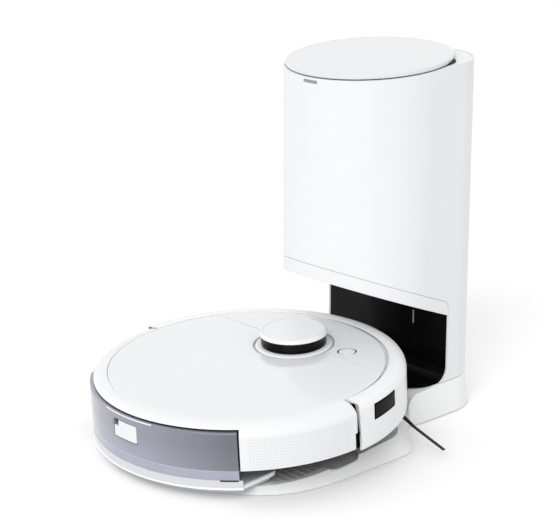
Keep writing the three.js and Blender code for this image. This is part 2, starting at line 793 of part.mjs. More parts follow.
// ribbed strip that a wheel climbs, ending in the dish where it stands
function track(side) {
  const top = RAMP - (TRACK_DEPTH - TRACK_T - SEAT) + 0.2;
  const bottom = RAMP - TRACK_DEPTH + SEAT;
  const runway = trackOutline(-2, bottom + 0.4, RAMP);
  let strip = trackOutline(0, bottom, top);
  const ribs = Math.floor((TRACK_END - PLATE_FRONT) / RIB_PITCH) - 2;
  for (let i = 0; i < ribs; i += 1) {
    const y = TRACK_END - i * RIB_PITCH;
    const rib = block(TRACK_IN + 2, TRACK_OUT - 2, y - RIB_W / 2, y + RIB_W / 2, top - 0.4, RAMP);
    strip = strip.add(rib.intersect(runway));
  }
  return side > 0 ? strip : mirrored(strip);
}

function island(x) {
  const half = CONTACT_W / 2 + 1.8;
  return block(x - half, x + half, CONTACT_Y - 8.5, CONTACT_Y + 8.5, RAMP - 1, RAMP + ISLAND_H);
}

function contactPocket(x) {
  const [w, l] = [CONTACT_W / 2 + SEAT, CONTACT_L / 2 + SEAT];
  return block(x - w, x + w, CONTACT_Y - l, CONTACT_Y + l, RAMP + 1, BIG);
}

function dockContact(x) {
  const [w, l] = [CONTACT_W / 2, CONTACT_L / 2];
  const top = FLOOR_Z - 0.4;
  const dome = rounded([
    [CONTACT_Y - l, RAMP + 4.6, 0],
    [CONTACT_Y + l, RAMP + 4.6, 0],
    [CONTACT_Y + l, top, 3],
    [CONTACT_Y - l, top, 3],
  ]);
  return prismX(dome, x - w, x + w, 6);
}

const INLET_RIM = 7;

function dockBase() {
  const tracks = bothSides(trackOutline(SEAT, RAMP - TRACK_DEPTH, BIG));
  const sealSeat = block(-INLET_HALF - INLET_RIM, INLET_HALF + INLET_RIM, INLET_Y0 - INLET_RIM,
    INLET_Y1 + INLET_RIM, RAMP - 1.5, BIG);
  const inlet = block(-INLET_HALF, INLET_HALF, INLET_Y0, INLET_Y1, -BIG, BIG);
  const channel = block(-COVER_HALF + 5, COVER_HALF - 5, INLET_Y0, COLUMN_Y + 5, -BIG, RAMP - 3);
  const cuts = union(tracks, sealSeat);
  const plate = dockPlate()
    .add(fromRobotFrame(union(island(CONTACT_X), island(-CONTACT_X))))
    .subtract(fromRobotFrame(cuts))
    .subtract(fromRobotFrame(inlet))
    .subtract(fromRobotFrame(union(contactPocket(CONTACT_X), contactPocket(-CONTACT_X))));
  const cavity = block(-CAVITY_HALF, CAVITY_HALF, COLUMN_Y + 8, CAVITY_REAR, GROUND, COLUMN_SEAM - PANEL_T - SEAT - 3);
  const coverSeat = coverOutline(SEAT, GROUND, BASE_Z + COVER_T + SEAT);
  const block_ = dockBlock()
    .subtract(cavity)
    .subtract(drum(DUCT_R + SEAT, 0, TOP_Z, 0, DUCT_Y))
    .subtract(inletSocket(SEAT));
  let base = plate.add(block_)
    .subtract(fromRobotFrame(channel).intersect(block(-BIG, BIG, -BIG, COLUMN_Y + 12, GROUND, BIG)))
    .subtract(coverSeat);
  for (const [x, y] of feetPlaces) base = base.subtract(drum(FOOT_R + SEAT, GROUND, GROUND + FOOT_T + SEAT, x, y, 24));
  return base;
}

const feetPlaces = [
  [-60, -105],
  [60, -105],
  [-82, 236],
  [82, 236],
];

const SOCKET_X = 38;
const SOCKET_HALF = 11;
const SOCKET_Z = 17;

function inletSocket(extra) {
  const outline = rectangle(
    SOCKET_X - SOCKET_HALF - extra,
    SOCKET_X + SOCKET_HALF + extra,
    SOCKET_Z - 7 - extra,
    SOCKET_Z + 7 + extra,
    2,
  );
  return prismY(outline, CAVITY_REAR - 6, COLUMN_REAR + (extra ? 20 : 0.4));
}

// mains inlet: a recess with two contact pins
function powerInlet() {
  const body = inletSocket(0);
  const recess = union(
    prismY(circle(4.2, SOCKET_X - 4, SOCKET_Z), COLUMN_REAR - 11, COLUMN_REAR + 5, 8),
    prismY(circle(4.2, SOCKET_X + 4, SOCKET_Z), COLUMN_REAR - 11, COLUMN_REAR + 5, 8),
  );
  const pins = union(
    prismY(circle(1.2, SOCKET_X - 4, SOCKET_Z), COLUMN_REAR - 12, COLUMN_REAR - 2, 5),
    prismY(circle(1.2, SOCKET_X + 4, SOCKET_Z), COLUMN_REAR - 12, COLUMN_REAR - 2, 5),
  );
  return body.subtract(recess).add(pins);
}

function inletSeal() {
  const rimX = INLET_HALF + INLET_RIM - SEAT;
  const [y0, y1] = [INLET_Y0 - INLET_RIM + SEAT, INLET_Y1 + INLET_RIM - SEAT];
  return block(-rimX, rimX, y0, y1, RAMP - 1.2, 0)
    .subtract(block(-INLET_HALF, INLET_HALF, INLET_Y0, INLET_Y1, -BIG, BIG));
}

// ---------------------------------------------------------------- station: assembly

piece(product, 'column_shell', columnShell(), 'white');
piece(product, 'underside_cover', undersideCover(), 'white');
piece(product, 'dock_panel', dockPanel(), 'black');
piece(product, 'rear_cover', rearCover(), 'white');
piece(product, 'status_light', statusLight(), 'grey');
piece(product, 'bag_chamber', bagChamber(), 'white');
piece(product, 'bag_card', bagCard(), 'card');
piece(product, 'dust_bag', dustBag(), 'paper');
piece(product, 'suction_motor', suctionMotor(), 'dark');
piece(product, 'dust_duct', dustDuct(), 'grey');
piece(product, 'dock_base', dockBase(), 'white');
piece(product, 'base_cover', baseCover(), 'grey');
piece(product, 'power_inlet', powerInlet(), 'dark');
feetPlaces.forEach(([x, y], i) => {
  piece(product, `rubber_foot_${i + 1}`, drum(FOOT_R, GROUND, GROUND + FOOT_T, x, y, 24), 'rubber');
});
piece(robot, 'track_right', track(1), 'grey');
piece(robot, 'track_left', track(-1), 'grey');
piece(robot, 'inlet_seal', inletSeal(), 'rubber');
piece(robot, 'dock_contact_right', dockContact(CONTACT_X), 'metal');
piece(robot, 'dock_contact_left', dockContact(-CONTACT_X), 'metal');
piece(rim, 'station_lid', stationLid(), 'deck');
piece(rim, 'lid_seal', lidSeal(), 'rubber');
const pinHalf = NOTCH_HALF + SEAT + 7;
const lidPin = axle(PIN_R, -pinHalf, pinHalf, LID_PIVOT_Y - COLUMN_Y, -LID_PIVOT_DROP, 16);
piece(rim, 'hinge_pin', lidPin, 'metal');

// ---------------------------------------------------------------- robot: body

// section of the rounded shoulder, as [radius, height] from the wall up to the top edge
function shoulder(outer, inner, top, drop, steps = 3) {
  const points = [];
  for (let i = 0; i <= steps; i += 1) {
    const t = (i / steps) * (Math.PI / 2);
    points.push([inner + (outer - inner) * Math.cos(t), top - drop + drop * Math.sin(t)]);
  }
  return points;
}

const RIM_IN = DECK_R + DECK_RIM;
const TRAY_Z = 73; // underside of the tray that carries the deck
const TRAY_T = 2;
const DECK_BOTTOM = DECK_Z - DECK_T;
const TRAY_R = DECK_R + 6;

function tankWedge(extra, z0, z1) {
  const half = TANK_ANGLE + extra;
  return wedge(-90 - half, -90 + half, z0, z1);
}

function sideWall() {
  const outer = shoulder(WALL_R, RIM_IN, DECK_Z, RIM_DROP);
  const inner = shoulder(WALL_R - SHELL_T, RIM_IN, DECK_Z - SHELL_T, RIM_DROP);
  const ring = revolve([
    [WALL_R - SHELL_T, WALL_BOTTOM],
    [WALL_R, WALL_BOTTOM],
    ...outer,
    ...inner.reverse(),
  ]);
  const rear = block(-BIG, BIG, -BIG, BUMPER_END_Y - SEAM, 0, BIG);
  return ring.intersect(rear).subtract(tankWedge(0.2, 0, TANK_TOP + SEAT));
}

function bumper() {
  const round = shoulder(ROBOT_R, ROBOT_R - BUMPER_ROUND, DECK_Z, BUMPER_ROUND, 3);
  const wall = 3;
  const lipIn = DECK_R - 6;
  const ring = revolve([
    [ROBOT_R - wall, BUMPER_BOTTOM],
    [ROBOT_R - 1, BUMPER_BOTTOM],
    [ROBOT_R, BUMPER_BOTTOM + 3],
    ...round,
    [lipIn, DECK_Z],
    [lipIn, DECK_Z - SHELL_T],
    [ROBOT_R - wall, DECK_Z - SHELL_T],
  ]);
  const front = block(-BIG, BIG, BUMPER_END_Y, BIG, 0, BIG);
  const window = windowWedge(0.25, SEAT);
  return ring.intersect(front)
    .subtract(drum(DECK_R + 1, 0, BIG, 0, BUMPER_TRAVEL + SEAT, ROUND))
    .subtract(window);
}

const SENSOR_FROM = 7.5;
const SENSOR_TO = 21.5;
const SENSOR_Z0 = 52;
const SENSOR_Z1 = 70;

function windowWedge(degrees, extra) {
  return wedge(SENSOR_FROM - degrees, SENSOR_TO + degrees, SENSOR_Z0 - extra, SENSOR_Z1 + extra);
}

function sensorWindow() {
  const ring = revolve([
    [ROBOT_R - 3, SENSOR_Z0],
    [ROBOT_R - 0.2, SENSOR_Z0],
    [ROBOT_R - 0.2, SENSOR_Z1],
    [ROBOT_R - 3, SENSOR_Z1],
  ]);
  return ring.intersect(windowWedge(0, 0));
}

// wheel arch: a box open from below
const WELL_IN = WHEEL_X - 18;
const WELL_OUT = WHEEL_X + 14;
const WELL_REAR = -38;
const WELL_FRONT = 56;
const WELL_TOP = 71;
const ARCH_T = 1.6;

function arch(extra, z0) {
  return block(WELL_IN - extra, WELL_OUT + extra, WELL_REAR - extra, WELL_FRONT + extra, z0, WELL_TOP + extra);
}

const BRUSH_BAY = BRUSH_HALF + 10;
const BRUSH_BAY_Y0 = BRUSH_Y - 22;
const BRUSH_BAY_Y1 = BRUSH_Y + 24;
const BRUSH_BAY_TOP = 40;

function brushBay(extra, z0) {
  return block(-BRUSH_BAY - extra, BRUSH_BAY + extra, BRUSH_BAY_Y0 - extra, BRUSH_BAY_Y1 + extra, z0,
    BRUSH_BAY_TOP + extra);
}

const STEM_R = 5;
const STEM_TOP = 40;
const HUB_R = 8;
const HUB_STEM_R = 3.5;
const SWEEP_TOP = 26;

function chassis() {
  const wall = CHASSIS_T;
  const pan = revolve([
    [0, FLOOR_Z],
    [BEVEL_R, FLOOR_Z],
    [CHASSIS_R, FLOOR_Z + BEVEL_H],
    [CHASSIS_R, CHASSIS_TOP],
    [CHASSIS_R - wall, CHASSIS_TOP],
    [CHASSIS_R - wall, FLOOR_Z + BEVEL_H + 2],
    [BEVEL_R - 1, FLOOR_Z + wall],
    [0, FLOOR_Z + wall],
  ], 36);
  const arches = bothSides(arch(ARCH_T, FLOOR_Z));
  const casterBoss = union(
    drum(STEM_R + 4, FLOOR_Z, STEM_TOP + 2, 0, CASTER_Y, 20),
    drum(CUP_R + RUN + ARCH_T, FLOOR_Z, CUP_TOP + RUN + ARCH_T, 0, CASTER_Y, 32),
  );
  const sweepBoss = drum(HUB_STEM_R + 4, FLOOR_Z, SWEEP_TOP + 2, SWEEP_X, SWEEP_Y, 16);
  const posts = union(
    drum(6, FLOOR_Z + BEVEL_H - 1, TRAY_Z - SEAT, ROBOT_R * 0.544, ROBOT_R * 0.748, 12),
    drum(6, FLOOR_Z + BEVEL_H - 1, TRAY_Z - SEAT, WHEEL_X + 25, TANK_FRONT_Y + 22, 12),
  );
  const solid = union(pan, arches, brushBay(ARCH_T, FLOOR_Z), casterBoss, bothSides(sweepBoss), bothSides(posts));
  const pivot = union(
    axle(3, WELL_IN - 1, WELL_IN + 8, ARM_PIVOT_Y, ARM_PIVOT_Z, 14),
    axle(5, WELL_IN - 1, WELL_IN + 1.2, ARM_PIVOT_Y, ARM_PIVOT_Z, 14),
  );
  const contact = block(CONTACT_X - 5, CONTACT_X + 5, CONTACT_Y - 7.5, CONTACT_Y + 7.5, 0, FLOOR_Z + 0.8);
  const bearing = axle(BEARING_R + SEAT, -BRUSH_BAY - 3, BRUSH_BAY + 3, BRUSH_Y, BRUSH_Z, 16);
  return solid
    .subtract(bothSides(arch(0, 0)))
    .subtract(brushBay(0, 0))
    .subtract(bearing)
    .subtract(drum(STEM_R + SEAT, 0, STEM_TOP + SEAT, 0, CASTER_Y, 20))
    .subtract(drum(CUP_R + RUN, 0, CUP_TOP + RUN, 0, CASTER_Y, 32))
    .subtract(bothSides(drum(HUB_STEM_R + SEAT, 0, SWEEP_TOP + SEAT, SWEEP_X, SWEEP_Y, 16)))
    .subtract(block(-BIG, BIG, -BIG, TANK_FRONT_Y + SEAT, 0, BIG))
    .subtract(bothSides(contact))
    .add(bothSides(pivot));
}

const BIN_HALF = BRUSH_HALF - 2;
const BIN_Y0 = TANK_FRONT_Y + 13;
const BIN_Y1 = 16;
const BIN_Z0 = BRUSH_BAY_TOP + ARCH_T + 1;
const FILTER_T = 12;
const FILTER_H = 26;
const FILTER_PLEATS = 9;
const BATTERY_HALF = 60;
const BATTERY_Y0 = 32;
const BATTERY_Y1 = 66;
const FAN_R = 21;
const FAN_H = 18;
const FAN_Y = -58;
const FAN_EYE_R = 9;

function topCover() {
  const tray = drum(TRAY_R, TRAY_Z, TRAY_Z + TRAY_T, 0, 0, ROUND);
  const ahead = FLAP_Y + FLAP_GAP / 2;
  const front = drum(DECK_R, TRAY_Z, DECK_Z, 0, 0, ROUND)
    .intersect(block(-BIG, BIG, ahead, BIG, TRAY_Z, DECK_Z))
    .subtract(drum(TURRET_HOLE_R, TRAY_Z + TRAY_T, BIG, 0, TURRET_Y, 32));
  const binHole = block(-BIN_HALF - 2, BIN_HALF + 2, BIN_Y0 - 2, BIN_Y1 + 2, 0, BIG);
  const hingeRelief = block(-BIG, BIG, ahead - 7, ahead, TRAY_Z + TRAY_T - 0.8, TRAY_Z + TRAY_T + 1);
  return tray
    .add(front)
    .subtract(binHole)
    .subtract(drum(BUTTON_R + SEAT, DECK_Z - 4.5, BIG, BUTTON_X, BUTTON_Y, 24))
    .subtract(drum(4, 0, BIG, BUTTON_X, BUTTON_Y, 16))
    .subtract(hingeRelief);
}

function deckFlap() {
  return drum(DECK_R, DECK_BOTTOM, DECK_Z, 0, 0, ROUND)
    .intersect(block(-BIG, BIG, -BIG, FLAP_Y - FLAP_GAP / 2, 0, BIG))
    .subtract(drum(TURRET_HOLE_R, 0, BIG, 0, TURRET_Y, 32));
}

function powerButton() {
  return union(
    drum(BUTTON_R, DECK_Z - 2.6, DECK_Z + 0.3, BUTTON_X, BUTTON_Y, 24),
    drum(4 - SEAT, TRAY_Z - 2, DECK_Z - 2, BUTTON_X, BUTTON_Y, 16),
  );
}

// ---------------------------------------------------------------- robot: turret

const SPINNER_R = 30;
const BASE_TOP = DECK_Z + TURRET_BASE_H;
const WINDOW_TOP = BASE_TOP + WINDOW_H;

function turretBase() {
  return lifted(revolve([
    [0, TRAY_Z + TRAY_T + SEAT],
    [TURRET_R + 4, TRAY_Z + TRAY_T + SEAT],
    [TURRET_R + 4, DECK_Z],
    [TURRET_R + 1, BASE_TOP],
    [SPINNER_R + 2, BASE_TOP],
    [SPINNER_R + 2, TRAY_Z + TRAY_T + 2],
    [0, TRAY_Z + TRAY_T + 2],
  ], 36), 0);
}

function turretWindow() {
  return revolve([
    [TURRET_R - 3.6, BASE_TOP + SEAT],
    [TURRET_R - 1.6, BASE_TOP + SEAT],
    [TURRET_R - 1.1, WINDOW_TOP],
    [TURRET_R - 3.6, WINDOW_TOP],
  ], 36);
}

function turretCap() {
  const z0 = WINDOW_TOP + SEAT;
  return revolve([
    [0, z0],
    [TURRET_R, z0],
    [TURRET_R, z0 + 1],
    [TURRET_R - 2.2, z0 + CAP_H - SEAT],
    [0, z0 + CAP_H - SEAT],
  ], 36);
}

// turning head of the distance sensor, with its window cut into the rim
function turretSpinner() {
  const z0 = TRAY_Z + TRAY_T + 2 + RUN;
  const head = drum(SPINNER_R, z0, WINDOW_TOP - 1, 0, 0, 32);
  const eyes = union(
    block(-18, -6, SPINNER_R - 8, BIG, BASE_TOP + 1, WINDOW_TOP - 3),
    block(6, 18, SPINNER_R - 8, BIG, BASE_TOP + 1, WINDOW_TOP - 3),
  );
  return head.subtract(eyes);
}

// ---------------------------------------------------------------- robot: dust side

const BEARING_R = 4;

// roller with slanting vanes
function mainBrush() {
  const vanes = 5;
  const core = 9;
  const shape = new THREE.Shape();
  const points = [];
  for (let i = 0; i < vanes; i += 1) {
    const a = (i / vanes) * 2 * Math.PI;
    [[-0.35, core], [-0.07, core + 1], [-0.05, BRUSH_R], [0.05, BRUSH_R], [0.07, core + 1], [0.35, core]]
      .forEach(([turn, r]) => points.push([r * Math.cos(a + turn), r * Math.sin(a + turn)]));
  }
  points.forEach(([x, y], i) => (i ? shape.lineTo(x, y) : shape.moveTo(x, y)));
  shape.closePath();
  const length = 2 * BRUSH_HALF;
  const steps = 4;
  const geometry = new THREE.ExtrudeGeometry(shape, { depth: length, steps, bevelEnabled: false });
  const position = geometry.getAttribute('position');
  const twist = 1.1;
  for (let i = 0; i < position.count; i += 1) {
    const a = (position.getZ(i) / length) * twist;
    const [x, y] = [position.getX(i), position.getY(i)];
    position.setX(i, x * Math.cos(a) - y * Math.sin(a));
    position.setY(i, x * Math.sin(a) + y * Math.cos(a));
  }
  geometry.rotateY(Math.PI / 2).translate(-BRUSH_HALF, BRUSH_Y, BRUSH_Z);
  const ends = axle(BEARING_R, -BRUSH_BAY - 2.4, BRUSH_BAY + 2.4, BRUSH_Y, BRUSH_Z, 14);
  return toSolid(geometry).add(ends);
}

// frame under the roller, with two guard bars across the mouth
function brushCover() {
  const z1 = FLOOR_Z - SEAT;
  const rimX = BRUSH_BAY + 8;
  const frame = block(-rimX, rimX, BRUSH_BAY_Y0 - 7, BRUSH_BAY_Y1 + 7, z1 - 2.4, z1);
  return frame.subtract(block(-BRUSH_BAY + 4, BRUSH_BAY - 4, BRUSH_BAY_Y0 + 2, BRUSH_BAY_Y1 - 2, 0, BIG));
}

function dustbin() {
  const [x, y0, y1] = [BIN_HALF - SEAT, BIN_Y0 + SEAT, BIN_Y1 - SEAT];
  const top = DECK_BOTTOM - 1;
  const wall = 1.8;
  const outer = prism(rectangle(-x, x, y0, y1, 9), BIN_Z0, top, 4);
  const inner = prism(rectangle(-x + wall, x - wall, y0 + wall, y1 - wall, 7), BIN_Z0 + wall, BIG, 4);
  const mouth = block(-50, 50, BIN_Y1 - 12, BIN_Y1 + 5, BIN_Z0 + 6, BIN_Z0 + 22);
  const outlet = block(-58, 58, BIN_Y0 - 5, BIN_Y0 + 5, BIN_Z0 + 6, BIN_Z0 + 24);
  return outer.subtract(inner).subtract(mouth).subtract(outlet);
}

// pleated filter standing at the back of the bin
function dustFilter() {
  const y0 = BIN_Y0 + SEAT + 1.8 + SEAT;
  const z0 = BIN_Z0 + 1.8 + SEAT;
  const half = BIN_HALF - 12;
  const frame = block(-half, half, y0, y0 + FILTER_T, z0, z0 + FILTER_H);
  const pitch = (half * 2) / FILTER_PLEATS - 0.8;
  let filter = frame;
  for (let i = 0; i < FILTER_PLEATS; i += 1) {
    const x = (i - (FILTER_PLEATS - 1) / 2) * pitch;
    filter = filter.subtract(block(x - 3, x + 3, y0 + 5, y0 + FILTER_T + 8, z0 + 3, z0 + FILTER_H - 3));
  }
  return filter;
}

function battery() {
  const low = FLOOR_Z + CHASSIS_T + SEAT;
  return prism(rectangle(-BATTERY_HALF, BATTERY_HALF, BATTERY_Y0, BATTERY_Y1, 5), low, BRUSH_BAY_TOP + 6, 4);
}

function fan() {
  const z0 = FLOOR_Z + CHASSIS_T + SEAT;
  const volute = drum(FAN_R, z0, z0 + FAN_H, 0, FAN_Y, 16);
  const outlet = block(0, FAN_R + 15, FAN_Y - FAN_R, FAN_Y - 3, z0, z0 + FAN_H - 4);
  return volute.add(outlet).subtract(drum(FAN_EYE_R, z0 + 8, BIG, 0, FAN_Y, 20));
}

// ---------------------------------------------------------------- robot: running gear

const TYRE_T = 6;
const AXLE_Z = WHEEL_R - WHEEL_DROP;

function wheelArm() {
  const [x0, x1] = [WELL_IN + 1.2 + SEAT, WELL_IN + 6.6];
  const plate = prismX(
    rounded([
      [ARM_PIVOT_Y + 8, ARM_PIVOT_Z - 8, 7],
      [ARM_PIVOT_Y + 8, ARM_PIVOT_Z + 8, 7],
      [-11, AXLE_Z + 11, 9],
      [-11, AXLE_Z - 11, 9],
    ]),
    x0,
    x1,
    5,
  );
  const stub = axle(4, x0 + 1, WHEEL_X + WHEEL_W / 2 + 1, 0, AXLE_Z, 16);
  return plate
    .subtract(axle(3 + SEAT, x0 - 5, x1 + 5, ARM_PIVOT_Y, ARM_PIVOT_Z, 16))
    .add(stub);
}

function wheelHub() {
  const half = WHEEL_W / 2;
  const rimR = WHEEL_R - TYRE_T;
  const body = lathedWheel([
    [4 + SEAT, -half + 0.5],
    [rimR, -half + 0.5],
    [rimR, half - 0.5],
    [rimR - 3, half - 0.5],
    [rimR - 5, half - 3],
    [8, half - 3],
    [8, half],
    [4 + SEAT, half],
  ], 20);
  return body;
}

// wheel profile of [radius, distance from its middle], turned about the wheel's axle
function lathedWheel(profile, facets) {
  const turn = new THREE.Matrix4().makeRotationY(Math.PI / 2);
  return carried(revolve(profile, facets), turn.setPosition(WHEEL_X, 0, AXLE_Z));
}

function wheelTyre() {
  const half = WHEEL_W / 2;
  const inner = WHEEL_R - TYRE_T + SEAT;
  const treads = 8;
  let tyre = lathedWheel([
    [inner, -half],
    [WHEEL_R - 1, -half],
    [WHEEL_R, -half + 1.5],
    [WHEEL_R, half - 1.5],
    [WHEEL_R - 1, half],
    [inner, half],
  ], 20);
  const groove = new THREE.BoxGeometry(WHEEL_W + 2, 3, 3);
  groove.translate(0, 0, WHEEL_R);
  for (let i = 0; i < treads; i += 1) {
    const cut = groove.clone().rotateX((2 * Math.PI * (i + 0.25)) / treads);
    tyre = tyre.subtract(toSolid(cut.translate(WHEEL_X, 0, AXLE_Z)));
  }
  return tyre;
}

const CUP_R = 19;
const CUP_TOP = 28;
const CASTER_AXLE_Y = CASTER_Y - CASTER_TRAIL;
const CASTER_HALF = 5;
const CASTER_PIN_R = 1.5;

// swivelling cup that holds the front roller
function casterCup() {
  const slot = CASTER_HALF + RUN;
  const reach = CASTER_R + 1;
  return drum(CUP_R, 5, CUP_TOP, 0, CASTER_Y, 32)
    .subtract(block(-slot, slot, CASTER_AXLE_Y - reach, CASTER_AXLE_Y + reach, 0, 2 * CASTER_R + 1))
    .subtract(axle(CASTER_PIN_R + SEAT, -CUP_R + 3, CUP_R - 3, CASTER_AXLE_Y, CASTER_R, 12))
    .add(drum(STEM_R, CUP_TOP - 1, STEM_TOP, 0, CASTER_Y, 20));
}

function casterRoller() {
  return axle(CASTER_R, -CASTER_HALF, CASTER_HALF, CASTER_AXLE_Y, CASTER_R, 32)
    .add(axle(CASTER_PIN_R, -CUP_R + 4, CUP_R - 4, CASTER_AXLE_Y, CASTER_R, 12));
}

function sweeperHub() {
  return union(
    drum(HUB_STEM_R, FLOOR_Z - 2, SWEEP_TOP, SWEEP_X, SWEEP_Y, 16),
    drum(HUB_R, SWEEP_Z + SEAT, FLOOR_Z - SEAT, SWEEP_X, SWEEP_Y, 24),
  );
}

const SWEEP_Z = 7; // top of the bristles' ring
const TUFT_W = 3;

// one bundle of bristles, straight out from the hub, hanging at its end
function tuft(angle, droop) {
  const [c, s] = [Math.cos(angle), Math.sin(angle)];
  const at = (r, z) => new THREE.Vector3(SWEEP_X + c * r, SWEEP_Y + s * r, z);
  const z = SWEEP_Z - 2.2;
  const kink = 0.62 * SWEEP_REACH;
  const path = new THREE.CurvePath();
  path.add(new THREE.LineCurve3(at(HUB_R - 3, z), at(kink, z - 1.5)));
  path.add(new THREE.LineCurve3(at(kink, z - 1.5), at(SWEEP_REACH, z - 1.5 - droop)));
  const section = circle(TUFT_W / 2, 0, 0);
  return toSolid(new THREE.ExtrudeGeometry(section, { steps: 4, curveSegments: 2, extrudePath: path }));
}

function sweeperBristles() {
  const third = (2 * Math.PI) / 3;
  const first = THREE.MathUtils.degToRad(SWEEP_ANGLE);
  const ring = drum(HUB_R, SWEEP_Z - 4, SWEEP_Z, SWEEP_X, SWEEP_Y, 24);
  return union(ring, tuft(first, SWEEP_DROOP), tuft(first + third, 0), tuft(first + 2 * third, 0));
}

// ---------------------------------------------------------------- robot: water side

const TANK_R = WALL_R - 0.5;
const LATCH_DEPTH = 9;
const FILL_R = 9;
const FILL_X = -70;
const FILL_Y = TANK_FRONT_Y - 25;
const FEED_X = 60; // outlets over the mop
const FEED_Y = TANK_FRONT_Y - 33;

function tankShape(inset, z0, z1) {
  const body = drum(TANK_R - inset, z0 + inset, z1 - inset, 0, 0, ROUND);
  const front = block(-BIG, BIG, -BIG, TANK_FRONT_Y - inset, z0, z1);
  const cutHalf = TANK_ANGLE - (inset ? 1.2 : 0);
  return body.intersect(front).intersect(wedge(-90 - cutHalf, -90 + cutHalf, z0, z1));
}

function latchNiche(extra) {
  const half = LATCH_HALF + extra;
  const [z0, z1] = [LATCH_Z - LATCH_H / 2 - extra, LATCH_Z + LATCH_H / 2 + extra];
  return block(-half, half, -BIG, -TANK_R + LATCH_DEPTH + extra, z0, z1);
}

function waterTank() {
  const nicheWall = 1.6;
  const niche = latchNiche(LATCH_GAP);
  const hollow = tankShape(TANK_WALL, TANK_BOTTOM, TANK_TOP).subtract(latchNiche(LATCH_GAP + nicheWall));
  return tankShape(0, TANK_BOTTOM, TANK_TOP)
    .subtract(hollow)
    .subtract(niche)
    .subtract(drum(FILL_R + SEAT, TANK_TOP - 5, BIG, FILL_X, FILL_Y, 24))
    .subtract(bothSides(drum(2.2, 0, TANK_BOTTOM + 5, FEED_X, FEED_Y, 12)));
}

function tankPlug() {
  return union(
    drum(FILL_R, TANK_TOP - TANK_WALL, TANK_TOP - 0.4, FILL_X, FILL_Y, 24),
    drum(FILL_R - 2, TANK_TOP - TANK_WALL - 5, TANK_TOP - 1, FILL_X, FILL_Y, 24),
  );
}

// push plate, with a wider flange behind it that runs in the niche
function tankLatch() {
  const back = -TANK_R + LATCH_DEPTH - 2.5;
  const plate = latchNiche(0)
    .intersect(drum(TANK_R + 0.4, 0, BIG, 0, 0, ROUND))
    .intersect(block(-BIG, BIG, -BIG, back, 0, BIG));
  const flange = latchNiche(LATCH_GAP - SEAT).intersect(block(-BIG, BIG, back - 3, back, 0, BIG));
  return plate.add(flange);
}

function mopOutline(inset, z0, z1) {
  const half = MOP_HALF - inset;
  const front = MOP_FRONT_Y - inset;
  const slab = prism(
    rounded([
      [-half, -BIG, 0],
      [half, -BIG, 0],
      [half, front - 10, 10],
      [half - 14, front, 10],
      [-half + 14, front, 10],
      [-half, front - 10, 10],
    ]),
    z0,
    z1,
    5,
  );
  return slab.intersect(drum(MOP_R - inset, z0, z1, 0, 0, ROUND));
}

function mopPlate() {
  return mopOutline(0, MOP_TOP - MOP_T, MOP_TOP)
    .subtract(mopOutline(3, MOP_TOP - MOP_T - 1, MOP_TOP - MOP_T + 2));
}

function mopPad() {
  const top = MOP_TOP - MOP_T + 2 - SEAT;
  return mopOutline(3 + SEAT, top - PAD_T, top);
}

// ---------------------------------------------------------------- robot: assembly

piece(robot, 'chassis', chassis(), 'dark');
piece(robot, 'side_wall', sideWall(), 'white');
piece(robot, 'top_cover', topCover(), 'deck');
piece(robot, 'deck_flap', deckFlap(), 'deck');
piece(robot, 'bumper', bumper(), 'white');
piece(robot, 'sensor_window', sensorWindow(), 'black');
piece(robot, 'power_button', powerButton(), 'deck');
piece(robot, 'dustbin', dustbin(), 'dark');
piece(robot, 'dust_filter', dustFilter(), 'paper');
piece(robot, 'battery', battery(), 'dark');
piece(robot, 'fan', fan(), 'dark');
piece(robot, 'main_brush', mainBrush(), 'accent');
piece(robot, 'brush_cover', brushCover(), 'dark');
piece(robot, 'caster_cup', casterCup(), 'dark');
piece(robot, 'caster_roller', casterRoller(), 'rubber');

const turret = new THREE.Group();
turret.position.y = TURRET_Y;
robot.add(turret);
piece(turret, 'turret_base', turretBase(), 'white');
piece(turret, 'turret_window', turretWindow(), 'black');
piece(turret, 'turret_cap', turretCap(), 'white');
piece(turret, 'turret_spinner', turretSpinner(), 'dark');

piece(robot, 'water_tank', waterTank(), 'tank');
piece(robot, 'tank_plug', tankPlug(), 'rubber');
piece(robot, 'tank_latch', tankLatch(), 'white');
piece(robot, 'mop_plate', mopPlate(), 'clear');
piece(robot, 'mop_pad', mopPad(), 'cloth');

const sides = { right: (solid) => solid, left: mirrored };
for (const [side, turned] of Object.entries(sides)) {
  piece(robot, `wheel_arm_${side}`, turned(wheelArm()), 'dark');
  piece(robot, `wheel_hub_${side}`, turned(wheelHub()), 'grey');
  piece(robot, `wheel_tyre_${side}`, turned(wheelTyre()), 'rubber');
  piece(robot, `sweeper_hub_${side}`, turned(sweeperHub()), 'accent');
  piece(robot, `sweeper_bristles_${side}`, turned(sweeperBristles()), 'bristle');
}

export default product;
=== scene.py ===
"""Looks of a robot vacuum that stands on the ramp of its self-emptying station."""

import math

import bmesh
import bpy
from mathutils import Matrix, Vector


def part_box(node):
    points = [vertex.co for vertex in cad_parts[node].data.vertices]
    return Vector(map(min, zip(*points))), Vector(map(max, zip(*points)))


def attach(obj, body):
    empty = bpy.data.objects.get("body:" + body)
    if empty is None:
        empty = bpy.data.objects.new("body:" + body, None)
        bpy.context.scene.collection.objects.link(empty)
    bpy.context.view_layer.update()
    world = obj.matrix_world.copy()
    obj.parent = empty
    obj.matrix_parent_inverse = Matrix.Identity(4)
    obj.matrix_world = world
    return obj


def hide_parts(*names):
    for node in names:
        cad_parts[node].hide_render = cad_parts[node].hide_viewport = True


bl_info = {
    "name": "Robot vacuum with station",
    "version": (1, 0, 0),
    "blender": (4, 5, 0),
    "location": "View3D > Sidebar > Vacuum",
    "description": "Builds the shells, fittings and finishes of a docked robot vacuum",
    "category": "Object",
}

